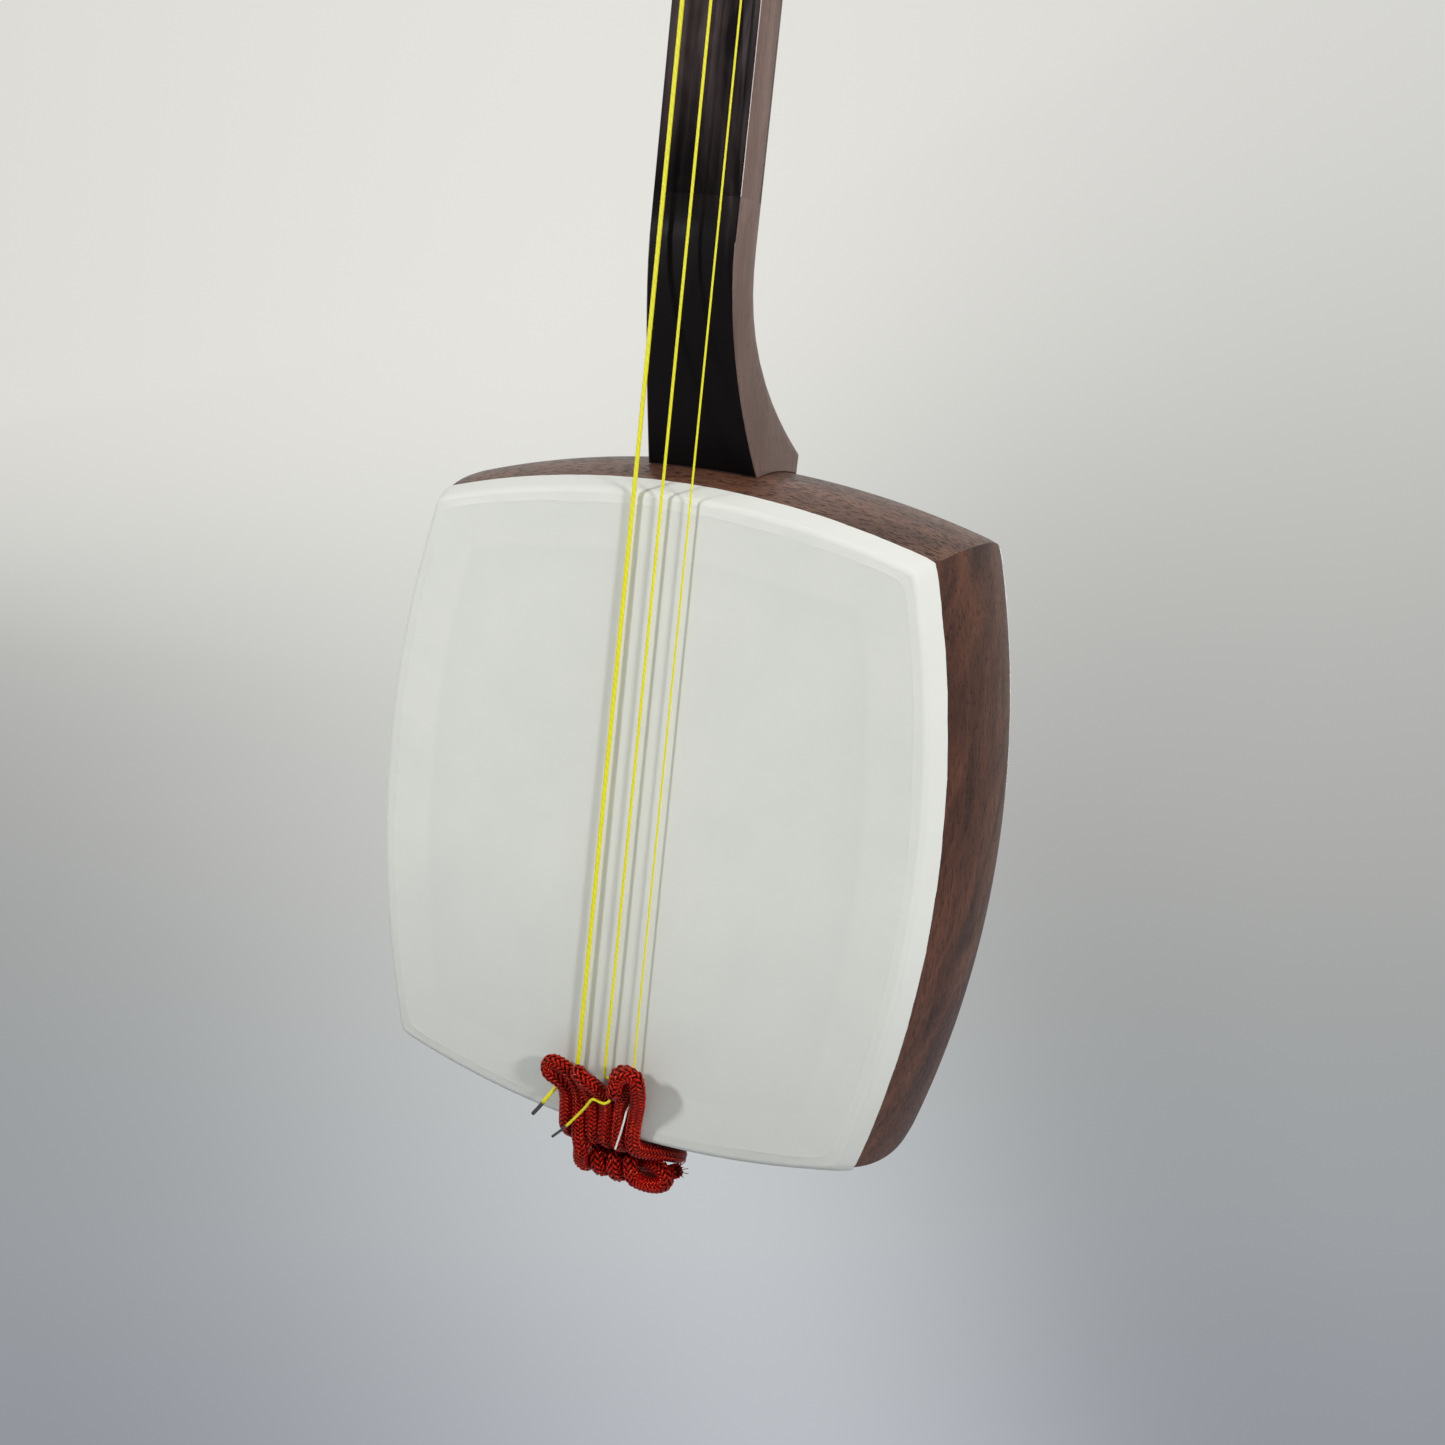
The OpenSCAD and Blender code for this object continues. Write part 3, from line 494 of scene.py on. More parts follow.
# %% Strings and windings
strings, windings = [], []
string_lines = [string_line(k) for k in range(3)]
for k, line in enumerate(string_lines):
    piece = round_tube(f"silk_string_{k + 1}", line, STRING_D[k], STRING_SIDES)
    at = distances(line)
    note(piece.data, "to_end", np.repeat(at[-1] - at, STRING_SIDES))
    strings.append(piece)
    windings.append(round_tube(f"silk_winding_{k + 1}", winding_line(k), STRING_D[k], WINDING_SIDES))
    print(piece.name, round(at[-1], 1), "mm long")

# %% [markdown]
# ## The outline of the body
# The body is a square with bowed sides whose four boards also belly out between
# the two skins. Every loop of a skin and every point of a board is a place on
# that outline, at some distance outside or inside the front edge, so two small
# functions serve them all. The corners are eased, as skin and wood both are.

# %% Outline
HALF_W, HALF_H, DEPTH = 75.0, 85.5, 80.0
SIDE_R, SIDE_RISE = 310.594, 12.0
END_R, END_RISE = 272.45, 10.526
SWELL_R, SWELL = 91.557, 9.2
WALL, SKIN_T = 15.0, 0.6
LEAD = HALF_H - HALF_W
CORNER_SLOPE, ROUNDS = 0.286, 30


def swell(depth, inset=0.0):
    """How far a board bellies out past the front edge's line, at a depth behind the front skin."""
    return np.sqrt((SWELL_R - inset)**2 - (np.asarray(depth) - DEPTH / 2)**2) - (SWELL_R - SWELL)


def side_x(offset, z):
    """How far to the side the outline is at a height."""
    return HALF_W + SIDE_RISE - SIDE_R + np.sqrt((SIDE_R + offset)**2 - z**2)


def end_z(offset, x):
    """How far up the outline is at a place across."""
    return HALF_H + END_RISE - END_R + np.sqrt((END_R + offset)**2 - x**2)


def eased(along, offset, ease, reach, near, far):
    """How far out a side is at a share of its length, with the corner eased off."""
    along = np.abs(along) * (reach - ease / 4 / (1 + CORNER_SLOPE))
    out = near(offset, along)
    cut = np.zeros_like(out)
    for _ in range(ROUNDS):
        gap = far(offset, out - cut) - along
        cut = np.maximum(ease - np.abs(cut - gap), 0)**2 / (4 * ease)
    return out - cut


def outline(u, v, offset, ease):
    """Places inside a bowed square, u and v from -1 to 1."""
    corner_x = np.full_like(u, HALF_W) + offset
    for _ in range(ROUNDS):
        corner_x = side_x(offset, corner_x + LEAD)
    x = u * eased(v, offset, ease, corner_x + LEAD, side_x, end_z)
    z = v * eased(u, offset, ease, corner_x, end_z, side_x)
    return x, z


front_corner = outline(np.array([1.0]), np.array([1.0]), 0.0, 4.0)
print("front corner at", [round(float(place[0]), 2) for place in front_corner])

# %% [markdown]
# ## The skins
# Each skin is stretched wet over the frame, glued, and trimmed a finger's width
# down the sides. It starts as a grid that is shaped to the outline. Its edge is
# then extruded loop by loop: a small turn over the rim, and the band that lies
# on the boards, with a cut edge that isn't quite even. A cloth simulation could
# stretch it too, but a skin this tight lies just where the boards put it.

# %% Face and fold of a skin
EASE_SKIN, TURN, RIM_BLEND, HIDE_T = 1.2, 1.7, 1.4, 0.5
BAND = (2.6, 3.8, 5.0, 6.2, 7.0, 7.6, 8.0)
RAGGED_FROM, RAGGED_OVER = 5.2, 2.8
TINY = 1e-9


def skin_loops():
    """Distance outside the front edge and depth of every loop, from the rim to the cut edge."""
    turn = [((1 - t)**2 * -TURN + t * t * float(swell(TURN)), t * t * TURN) for t in np.arange(1, 9) / 8]
    return turn + [(float(swell(depth)), depth) for depth in BAND]


def skin_face(name, face_y):
    """The flat face: a grid in the outline, whose points know how far they are from the rim."""
    bpy.ops.mesh.primitive_grid_add(x_subdivisions=60, y_subdivisions=68, size=2)
    piece = added(name)
    u, v, _ = points_of(piece.data).T
    note(piece.data, "u", u)
    note(piece.data, "v", v)
    x, z = outline(u, v, -TURN, EASE_SKIN)
    at_side, _ = outline(np.sign(u + TINY), v, -TURN, EASE_SKIN)
    _, at_end = outline(u, np.sign(v + TINY), -TURN, EASE_SKIN)
    gaps = np.abs(at_side) - np.abs(x), np.abs(at_end) - np.abs(z)
    note(piece.data, "rim", -RIM_BLEND * np.log(sum(np.exp(-gap / RIM_BLEND) for gap in gaps)))
    move_points(piece.data, np.stack([x, np.full_like(x, face_y), z], axis=1) * MM)
    return piece


def choose_open_edge():
    bpy.ops.mesh.select_mode(type="EDGE")
    bpy.ops.mesh.select_all(action="DESELECT")
    bpy.ops.mesh.select_non_manifold()


def fold_over(piece, face_y, way):
    """Extrudes the open edge loop by loop, over the rim and down the boards."""
    mesh = piece.data
    edit(piece, choose_open_edge)
    for offset, depth in skin_loops():
        edit(piece, bpy.ops.mesh.extrude_edges_move, choose_all=False)
        chosen = read(mesh.vertices, "select", bool)
        x, z = outline(noted(mesh, "u")[chosen], noted(mesh, "v")[chosen], offset, EASE_SKIN)
        turn = np.arctan2(z, x)
        ragged = 0.22 * np.sin(23 * turn) + 0.16 * np.sin(57 * turn + 1) + 0.1 * np.sin(131 * turn + 2)
        share = max(0.0, (depth - RAGGED_FROM) / RAGGED_OVER)
        points, rim = points_of(mesh), noted(mesh, "rim")
        points[chosen] = np.stack([x, face_y + way * (depth + (ragged - 0.4) * share), z], axis=1) * MM
        rim[chosen] = -depth
        move_points(mesh, points)
        note(mesh, "rim", rim)
    edit(piece, outwards)


# %% Skins
def make_skin(name, face_y, way):
    """A skin that faces the front, way 1, or the back, way -1."""
    piece = skin_face(name, face_y)
    fold_over(piece, face_y, way)
    faces = piece.data.polygons
    if faces[len(faces) // 3].normal.y * way > 0:
        edit(piece, bpy.ops.mesh.flip_normals)
    modify(piece, "SOLIDIFY", thickness=HIDE_T * MM, offset=-1, use_even_offset=True)
    smooth_by_angle(piece, 50)
    return piece


front_hide = make_skin("front_hide", FRONT_Y, 1)
back_hide = make_skin("back_hide", 0.0, -1)
print("skins", [len(p.data.polygons) for p in (front_hide, back_hide)], "faces")

# %% [markdown]
# ## The four boards
# Each board is sawn from thick hardwood, bowed outside and cut at 45 degrees at
# both ends, and the four are glued into a ring. A board starts as a grid that is
# shaped to its outer face and is then extruded inwards as far as the inner face.
# The top and bottom boards have a hole for the neck's tang. The ridge of a mitre
# is rounded off with the outer face, so the grid's end lies on the seam.

# %% Boards
EASE_WOOD, EASE_INSIDE = 1.0, 0.01
HOLE_W, HOLE_ROOM, HOLE_Z, HOLE_LEN = 18.2, 0.2, 95, 60


def make_board(name, is_end, sign):
    """An end or a side of the body: its outer face, pulled inwards to the inner one."""
    bpy.ops.mesh.primitive_grid_add(x_subdivisions=64, y_subdivisions=26, size=2)
    piece = added(name)
    mesh = piece.data
    along, share, _ = points_of(mesh).T
    depth = SKIN_T + (DEPTH - 2 * SKIN_T) * (share + 1) / 2
    edge = np.full_like(along, float(sign))

    def place(offset, ease):
        x, z = outline(along, edge, offset, ease) if is_end else outline(edge, along, offset, ease)
        return np.stack([x, FRONT_Y + depth, z], axis=1) * MM

    move_points(mesh, place(swell(depth, SKIN_T), EASE_WOOD))
    edit(piece, bpy.ops.mesh.extrude_region_move)
    points = points_of(mesh)
    points[read(mesh.vertices, "select", bool)] = place(np.full_like(along, -WALL), EASE_INSIDE)
    move_points(mesh, points)
    edit(piece, outwards)
    return piece


def cut_hole(piece, thickness, sign):
    """A square hole for the tang, with a little room on each side."""
    bpy.ops.mesh.primitive_cube_add(size=1, location=(0, -DEPTH / 2 * MM, sign * HOLE_Z * MM))
    cutter = bpy.context.active_object
    cutter.scale = (HOLE_W * MM, (thickness + HOLE_ROOM) * MM, HOLE_LEN * MM)
    modify(piece, "BOOLEAN", operation="DIFFERENCE", object=cutter, solver="EXACT")
    bpy.data.objects.remove(cutter, do_unlink=True)


boards = {}
for side, is_end, sign in (("top", True, 1), ("bottom", True, -1), ("left", False, -1), ("right", False, 1)):
    boards[side] = make_board(f"{side}_board", is_end, sign)
cut_hole(boards["top"], 24, 1)
cut_hole(boards["bottom"], 18, -1)
for piece in boards.values():
    smooth_by_angle(piece, 35)
    print(piece.name, len(piece.data.polygons), "faces")

# %% [markdown]
# ## The neck, the head, the nut and the seats
# These are turned, planed and filed parts whose solids already have the right
# shape, so each piece is a copy of its solid. The solid's seams are welded, its
# edges are broken with a small bevel, as fine sandpaper does, and faces that
# meet at a small angle are shaded as one. Modelling them again would only risk
# a neck that doesn't meet its own tenons.

# %% Copies of the solids
JOINTS = (176.4292, 438.4292, HEAD_Z)
NECK_BEVEL, NUT_BEVEL, SEAT_BEVEL = 0.4, 0.25, 0.3
SHARP, FLAT = math.radians(30), math.radians(0.5)
AT_JOINT, WELD = 0.05, 1e-5


def break_edges(piece, width, joints):
    """Bevels the sharp edges, but not those where two pieces of the neck meet flush."""
    mesh = piece.data
    normals = {}
    for polygon in mesh.polygons:
        for key in polygon.edge_keys:
            normals.setdefault(key, []).append(polygon.normal)
    weights = []
    for edge in mesh.edges:
        pair = normals.get(edge.key, [])
        sharp = len(pair) == 2 and pair[0].angle(pair[1], 0) > SHARP
        heights = [mesh.vertices[i].co.z / MM for i in edge.vertices]
        flush = any(max(abs(z - joint) for z in heights) < AT_JOINT for joint in joints)
        weights.append(1.0 if sharp and not flush else 0.0)
    mesh.attributes.new("bevel_weight_edge", "FLOAT", "EDGE").data.foreach_set("value", weights)
    modify(piece, "BEVEL", width=width * MM, segments=2, limit_method="WEIGHT")


def copy_of(node, name, bevel, joints=()):
    """A welded copy of a solid, with its edges broken."""
    piece = linked(name, nodes[node].data.copy())
    piece.data.name = name
    piece.matrix_world = nodes[node].matrix_world.copy()
    take(piece)
    bpy.ops.object.transform_apply()
    edit(piece, lambda: bpy.ops.mesh.remove_doubles(threshold=WELD),
         lambda: bpy.ops.mesh.dissolve_limited(angle_limit=FLAT), outwards)
    break_edges(piece, bevel, joints)
    edit(piece, bpy.ops.mesh.quads_convert_to_tris)
    smooth_by_angle(piece, 32)
    return piece


neck = {name: copy_of(name, f"{name}_wood", NECK_BEVEL, JOINTS)
        for name in ("lower_neck", "middle_neck", "upper_neck", "tenjin")}
nut_piece = copy_of("kamigoma", "nut_brass", NUT_BEVEL)
seats = [copy_of(f"seat_ring_{k}", f"seat_brass_{k}", SEAT_BEVEL) for k in (1, 2, 3)]
print("copies", [len(p.data.polygons) for p in (*neck.values(), nut_piece, *seats)], "faces")

# %% [markdown]
# ## The pegs
# A peg is turned with a slim shaft, and its handle is planed to six flats that
# widen towards a rounded end. The handle is a disc that is extruded and scaled
# row by row along the peg. A cylinder makes the shaft, and the two are one mesh.
# One peg is the pattern, and the three are copies that are laid to their sides.
# Three pegs modelled one by one would only take longer to look the same.

# %% Handle and shaft of a peg
HANDLE_ROWS = [(0, 0.44), (0.12, 0.5), (0.35, 0.72), (0.6, 0.92),
               (0.82, 1), (0.93, 0.97), (0.98, 0.8), (1, 0.45)]
HANDLE_START, HANDLE_LEN, HANDLE_R, FLATS = 15.9, 76.0, 11.2, 6
FLAT_SHARE = 0.9
SHAFT_FROM, SHAFT_INSIDE = -16.4, 6
PEG_SIDE = (-1, -1, 1)


def draw_rows():
    """Draws the chosen disc out along the handle and widens it as it goes."""
    for (low, wide), (high, wider) in zip(HANDLE_ROWS, HANDLE_ROWS[1:]):
        rise, growth = (high - low) * HANDLE_LEN * MM, wider / wide
        bpy.ops.mesh.extrude_region_move(TRANSFORM_OT_translate={"value": (0, 0, rise)})
        bpy.ops.transform.resize(value=(growth, growth, 1), center_override=(0, 0, high * HANDLE_LEN * MM))


def peg_handle(name):
    """Six flats that widen towards a rounded end, drawn out of a disc row by row."""
    bpy.ops.mesh.primitive_circle_add(vertices=2 * FLATS, radius=HANDLE_R * HANDLE_ROWS[0][1] * MM,
                                      fill_type="NGON")
    piece = added(name)
    for vertex in list(piece.data.vertices)[1::2]:
        vertex.co *= FLAT_SHARE
    edit(piece, draw_rows)
    edit(piece, outwards)
    modify(piece, "BEVEL", width=0.7 * MM, segments=2, limit_method="ANGLE", angle_limit=math.radians(16))
    move_points(piece.data, points_of(piece.data) + np.array([0, 0, HANDLE_START * MM]))
    return piece


def peg_shaft():
    """The round part, which ends inside the handle."""
    low, high = SHAFT_FROM, HANDLE_START + SHAFT_INSIDE
    bpy.ops.mesh.primitive_cylinder_add(vertices=40, radius=SHAFT_R * MM, depth=(high - low) * MM,
                                        location=(0, 0, (low + high) / 2 * MM))
    rod = bpy.context.active_object
    bpy.ops.object.transform_apply()
    modify(rod, "BEVEL", width=0.6 * MM, segments=3, limit_method="ANGLE", angle_limit=math.radians(60))
    return rod


# %% Pegs
def make_peg(k):
    """A copy of the pattern, laid along X at the peg's place."""
    piece = linked(f"peg_wood_{k + 1}", pattern.data.copy())
    piece.data.name = piece.name
    x, y, z = points_of(piece.data).T
    turned = np.stack([PEG_SIDE[k] * z, y, -PEG_SIDE[k] * x], axis=1)
    move_points(piece.data, turned + peg_place(PEG_ROW[k]) * MM)
    edit(piece, outwards)
    smooth_by_angle(piece, 34)
    return piece


pattern, rod = peg_handle("peg_pattern"), peg_shaft()
take(pattern)
rod.select_set(True)
bpy.ops.object.join()
pegs = [make_peg(k) for k in range(3)]
bpy.data.meshes.remove(pattern.data)
print("pegs", [len(p.data.polygons) for p in pegs], "faces")

# %% [markdown]
# ## Finishes
# Every finish is made of noise and ramps on the object's own coordinates, so it
# stays with the piece when a peg turns. A small class keeps the node work short:
# it adds a node, sets its plain values and links what is handed to it. Pictures
# of wood and skin could do it too, but they would have to be unwrapped onto every
# piece and carried along with it.

# %% Node helper
class Finish:
    """The nodes of one material, or of the world."""

    def __init__(self, name, kind=bpy.data.materials, shader="Principled BSDF"):
        self.made = kind.new(name)
        self.made.use_nodes = True
        self.tree = self.made.node_tree
        self.shader = self.tree.nodes[shader]

    def put(self, socket, value):
        """Links a socket to another one or gives it a plain value."""
        if isinstance(value, bpy.types.NodeSocket):
            self.tree.links.new(value, socket)
        else:
            socket.default_value = value

    def add(self, kind, inputs=None, **settings):
        node = self.tree.nodes.new("ShaderNode" + kind)
        for key, value in settings.items():
            setattr(node, key, value)
        for key, value in (inputs or {}).items():
            self.put(node.inputs[key], value)
        return node

    def set(self, **values):
        """Inputs of the shader, with a low line for each space in a name."""
        for key, value in values.items():
            self.put(self.shader.inputs[key.replace("_", " ")], value)

    def stretched(self, coords, scale, turn=(0, 0, 0)):
        return self.add("Mapping", {"Vector": coords, "Scale": scale, "Rotation": turn}).outputs["Vector"]

    def place(self, scale=(1, 1, 1), turn=(0, 0, 0)):
        """The object's own coordinates, stretched."""
        return self.stretched(self.add("TexCoord").outputs["Object"], scale, turn)

    def along_tube(self):
        """The map that runs round and along a string or a strand."""
        return self.add("UVMap", uv_map="round_and_along").outputs["UV"]

    def parts(self, vector):
        return self.add("SeparateXYZ", {"Vector": vector}).outputs

    def noise(self, place, scale=1.0, detail=3.0, rough=0.5, warp=0.0):
        return self.add("TexNoise", {"Vector": place, "Scale": scale, "Detail": detail,
                                     "Roughness": rough, "Distortion": warp}).outputs["Fac"]

    def ramp(self, value, *stops, between="LINEAR"):
        """A colour or a grey for every value: stops are (place, grey or colour)."""
        node = self.add("ValToRGB", {"Fac": value})
        node.color_ramp.interpolation = between
        while len(node.color_ramp.elements) < len(stops):
            node.color_ramp.elements.new(0.5)
        for element, (at, colour) in zip(node.color_ramp.elements, stops):
            element.position = at
            element.color = (*colour, 1) if isinstance(colour, tuple) else (*[colour] * 3, 1)
        return node.outputs["Color"]

    def fade(self, value, low, high, top=1.0):
        """A grey that grows from nothing to its top between two values."""
        return self.ramp(value, (low, 0.0), (high, top))

    def mix(self, share, a, b):
        node = self.add("Mix", data_type="RGBA")
        self.put(node.inputs["Factor"], share)
        for socket, value in zip([s for s in node.inputs if s.type == "RGBA"], (a, b)):
            self.put(socket, (*value, 1) if isinstance(value, tuple) else value)
        return [s for s in node.outputs if s.type == "RGBA"][0]

    def math(self, operation, a, b=0.5):
        return self.add("Math", {0: a, 1: b}, operation=operation).outputs["Value"]

    def plus(self, a, b):
        return self.math("ADD", a, b)

    def times(self, a, b):
        return self.math("MULTIPLY", a, b)

    def number(self, name):
        return self.add("Attribute", attribute_name=name).outputs["Fac"]

    def bump(self, height, strength, distance, onto=None):
        inputs = {"Height": height, "Strength": strength, "Distance": distance}
        if onto is not None:
            inputs["Normal"] = onto
        return self.add("Bump", inputs).outputs["Normal"]

    def done(self):
        print(self.made.name, len(self.tree.nodes), "nodes")
        return self.made


# %% [markdown]
# ## Wood
# The boards are a reddish hardwood with short dark pores and wavy darker bands,
# under a satin oil finish. The end boards are coloured lighter than the sides,
# which is painted light on the ends and painted shade on the sides. The neck is
# rosewood: nearly black and polished on its playing face, and satin, lighter and
# pinkish on its sides and back, which is painted reflection. The head and the
# pegs are darker and polished.
# The pores are a noise that is stretched along the grain, so each board needs its
# own direction.

# %% Wood finishes
ALONG_X, ALONG_Z = 0, 2


def wood(name, grain, dark, light, pore, gloss, shine, figure, pitted, painted_shade_below=None, lean=0.0, fine=90):
    """Grain runs along the axis that is given. Below a height the wood is darker: painted shade and painted
    reflection.
    """
    f = Finish(name)

    def along_grain(across, along, turn=(0, 0, 0)):
        return f.stretched(f.place(turn=turn), [along if axis == grain else across for axis in range(3)])

    streak = f.noise(along_grain(fine, 6), 1.0, 4.0, 0.6, 0.6)
    wave = f.noise(along_grain(38, 13, (lean, 0, 0)), 1.0, 3.0, 0.55, 2.0)
    fibre = f.noise(along_grain(1500, 60), 1.0, 2.0, 0.6)
    tone = f.plus(f.times(streak, 0.45), f.times(wave, 0.55))
    middle = tuple((a + b) / 2 for a, b in zip(dark, light))
    colour = f.ramp(tone, (0.5 - 0.14 / figure, dark), (0.5, middle), (0.5 + 0.14 / figure, light))
    colour = f.mix(f.fade(fibre, 0.4, 0.7, 0.35), colour, dark)
    if pitted:
        holes = f.fade(f.noise(along_grain(1500, 330), 1.0, 1.0, 0.4), 0.55, 0.65)
        colour = f.mix(f.times(holes, pitted), colour, pore)
        f.set(Specular_IOR_Level=f.ramp(holes, (0.0, shine), (1.0, shine * (1 - 0.8 * pitted))),
              Normal=f.bump(f.times(holes, -pitted), 0.7, 0.0004))
    else:
        f.set(Specular_IOR_Level=shine, Normal=f.bump(fibre, 0.06, 0.0001))
    # Below a height the colour turns towards the pore colour: painted shade and painted reflection.
    if painted_shade_below:
        from_z, to_z, share = painted_shade_below
        height = f.plus(f.parts(f.place())["Z"], f.times(f.math("SUBTRACT", wave, 0.5), 0.04))
        colour = f.mix(f.ramp(height, (from_z, share), (to_z, 0.0)), colour, pore)
    f.set(Base_Color=colour, Roughness=f.ramp(fibre, (0.25, gloss - 0.05), (0.75, gloss + 0.1)))
    return f.done()


# The end boards' lighter colours are painted light, the side boards' darker ones painted shade.
board_ends = wood("board_wood_across", ALONG_X, (0.060, 0.023, 0.014), (0.205, 0.092, 0.056),
                  (0.014, 0.006, 0.004), gloss=0.36, shine=0.38, figure=0.9, pitted=0.75)
board_sides = wood("board_wood_upright", ALONG_Z, (0.032, 0.0105, 0.0065), (0.130, 0.048, 0.026),
                   (0.014, 0.006, 0.004), gloss=0.40, shine=0.28, figure=1.1, pitted=0.4, lean=0.6)
# The neck's sides are coloured lighter and pinker than its face: painted reflection.
neck_side = wood("neck_side_wood", ALONG_Z, (0.130, 0.080, 0.066), (0.252, 0.170, 0.141),
                 (0.08, 0.046, 0.038), gloss=0.42, shine=0.4, figure=0.7, pitted=0.2,
                 painted_shade_below=(0.115, 0.21, 0.45))
# The neck's face is coloured nearly black: painted shade and painted reflection on the same rosewood.
neck_face = wood("neck_face_wood", ALONG_Z, (0.012, 0.008, 0.0095), (0.108, 0.078, 0.080),
                 (0.0042, 0.003, 0.0036), gloss=0.48, shine=0.09, figure=2.0, pitted=0.0,
                 painted_shade_below=(0.165, 0.222, 1.0), fine=200)
# Pale bevels beside the neck's face: a painted highlight.
neck_edge_glint = wood("neck_edge_wood", ALONG_Z, (0.55, 0.48, 0.44), (0.80, 0.74, 0.68),
                 (0.1, 0.07, 0.06), gloss=0.26, shine=0.5, figure=0.8, pitted=0.0)
head_wood = wood("head_wood", ALONG_Z, (0.060, 0.036, 0.031), (0.150, 0.098, 0.082),
                 (0.03, 0.018, 0.015), gloss=0.3, shine=0.45, figure=0.9, pitted=0.2)
peg_wood = wood("peg_wood_along", ALONG_X, (0.012, 0.006, 0.006), (0.05, 0.024, 0.02),
                (0.008, 0.004, 0.004), gloss=0.28, shine=0.4, figure=1.0, pitted=0.8)

# %% [markdown]
# ## Skin, brass, silk and braid
# The hide is pale and matt with faint clouds. It is darkest just inside the
# boards' inner edge and a little darker over the hollow, which is painted shade;
# the band that turns down over the boards is mixed lighter, which is painted
# light; and it grows darker towards the bottom, which is painted shade. Brass is
# filed, so it has fine lines. The silk strings are twisted, dyed yellow and waxed:
# the twist is a wave on the UV map that runs round and along each string, and its
# grooves are a deeper yellow, which is painted shade. The braid's own shape does
# most of the work for the tail cord; its finish adds fibres that are partly their
# own lighter tone and partly a painted highlight, a soft sheen, and painted shade
# where the strands dip into the gaps.

# %% Skin
f = Finish("hide")
rim = f.number("rim")
cloud = f.noise(f.place(), 45.0, 4.0, 0.55)
fleck = f.noise(f.place(), 420.0, 3.0, 0.6)
scaled = f.times(f.plus(rim, 10.0), 1 / 40)
wander = f.times(f.math("SUBTRACT", cloud, 0.5), 0.08)
edge = f.plus(scaled, wander)
# Darkest just inside the boards' inner edge, a little darker over the hollow: painted shade.
painted_shade_inside = f.ramp(edge, (0.60, 0.0), (0.655, 1.0), (0.98, 0.25))
# Lighter on the band that turns down over the boards: painted light.
wrap = f.ramp(scaled, (0.2, 1.0), (0.25, 0.0))
at = f.parts(f.place())
height = f.plus(f.plus(at["Z"], 0.5), f.times(wander, 0.2))
colour = f.mix(f.fade(cloud, 0.3, 0.7), (0.69, 0.695, 0.645), (0.72, 0.725, 0.67))
colour = f.mix(f.fade(fleck, 0.45, 0.75, 0.08), colour, (0.61, 0.615, 0.57))
colour = f.mix(f.times(painted_shade_inside, 0.28), colour, (0.61, 0.62, 0.58))
colour = f.mix(f.times(wrap, 0.4), colour, (0.76, 0.76, 0.715))
# The skin is darker towards the bottom: painted shade.
colour = f.mix(f.ramp(height, (0.40, 0.85), (0.485, 0.0)), colour, (0.56, 0.57, 0.535))
round_about = {"X": f.times(f.math("ARCTAN2", at["Z"], at["X"]), 9.0), "Y": f.times(rim, 0.03)}
pull = f.noise(f.add("CombineXYZ", round_about).outputs["Vector"], 1.0, 3.0, 0.5, 0.6)
near_rim = f.ramp(scaled, (0.24, 0.0), (0.3, 1.0), (0.62, 0.0))
at_turn = f.ramp(edge, (0.28, 0.0), (0.297, 1.0), (0.314, 0.0))
crease = f.times(at_turn, f.fade(pull, 0.35, 0.6))
grain = f.plus(f.times(cloud, 0.7), f.times(fleck, 0.3))
folds = f.plus(f.times(pull, near_rim), f.times(crease, 0.14))
normal = f.bump(folds, 0.6, 0.0006, f.bump(grain, 0.25, 0.0006))
f.set(Base_Color=colour, Roughness=f.ramp(fleck, (0.3, 0.5), (0.7, 0.62)), Normal=normal,
      Specular_IOR_Level=0.35)
hide = f.done()

# %% Brass
f = Finish("filed_brass")
lines = f.noise(f.place((2500, 200, 2500)), 1.0, 2.0)
tarnish = f.noise(f.place(), 160.0, 4.0, 0.6)
f.set(Base_Color=f.mix(f.fade(tarnish, 0.35, 0.75), (0.78, 0.57, 0.23), (0.52, 0.36, 0.14)),
      Roughness=f.ramp(lines, (0.2, 0.2), (0.8, 0.36)), Normal=f.bump(lines, 0.1, 0.0001), Metallic=1.0)
brass = f.done()

# %% Silk
PLIES = 2
GREY, WHITE, DEEP_YELLOW = (0.055, 0.055, 0.06), (0.72, 0.72, 0.68), (0.78, 0.68, 0.02)


def silk(name, tail, tail_length, lay):
    """Twisted silk whose last part can be wrapped or dyed another colour."""
    f = Finish(name)
    at = f.parts(f.along_tube())
    twist = f.math("SINE", f.plus(f.times(at["X"], TWO_PI * PLIES), f.times(at["Y"], TWO_PI / lay)))
    fibre = f.noise(f.place(), 2600.0, 2.0)
    # A deeper yellow in the low part of the twist, its grooves: painted shade.
    yellow = f.mix(f.ramp(twist, (0.0, 0.35), (0.7, 0.0)), (0.82, 0.76, 0.009), (0.62, 0.55, 0.006))
    yellow = f.mix(f.fade(fibre, 0.4, 0.8, 0.25), yellow, (0.84, 0.80, 0.10))
    to_end, change = f.math("DIVIDE", f.number("to_end"), 100.0), tail_length / 100
    at_end = f.ramp(to_end, (change, 1.0), (change + 0.01, 0.0))
    f.set(Base_Color=f.mix(at_end, yellow, tail), Roughness=f.ramp(fibre, (0.3, 0.34), (0.7, 0.5)),
          Normal=f.bump(twist, 0.2, 0.00008), Specular_IOR_Level=0.4)
    return f.done()


string_silk = [silk("silk_1", GREY, 5.5, 2.4), silk("silk_2", GREY, 7.0, 1.8),
               silk("silk_3", WHITE, 17.0, 1.4)]
winding_silk = silk("silk_on_peg", DEEP_YELLOW, 0.01, 2.0)

# %% Braid
f = Finish("red_braid")
fibres = f.noise(f.stretched(f.along_tube(), (9.0, 0.5, 1.0)), 1.0, 3.0, 0.6)
patch = f.noise(f.place(), 190.0, 3.0)
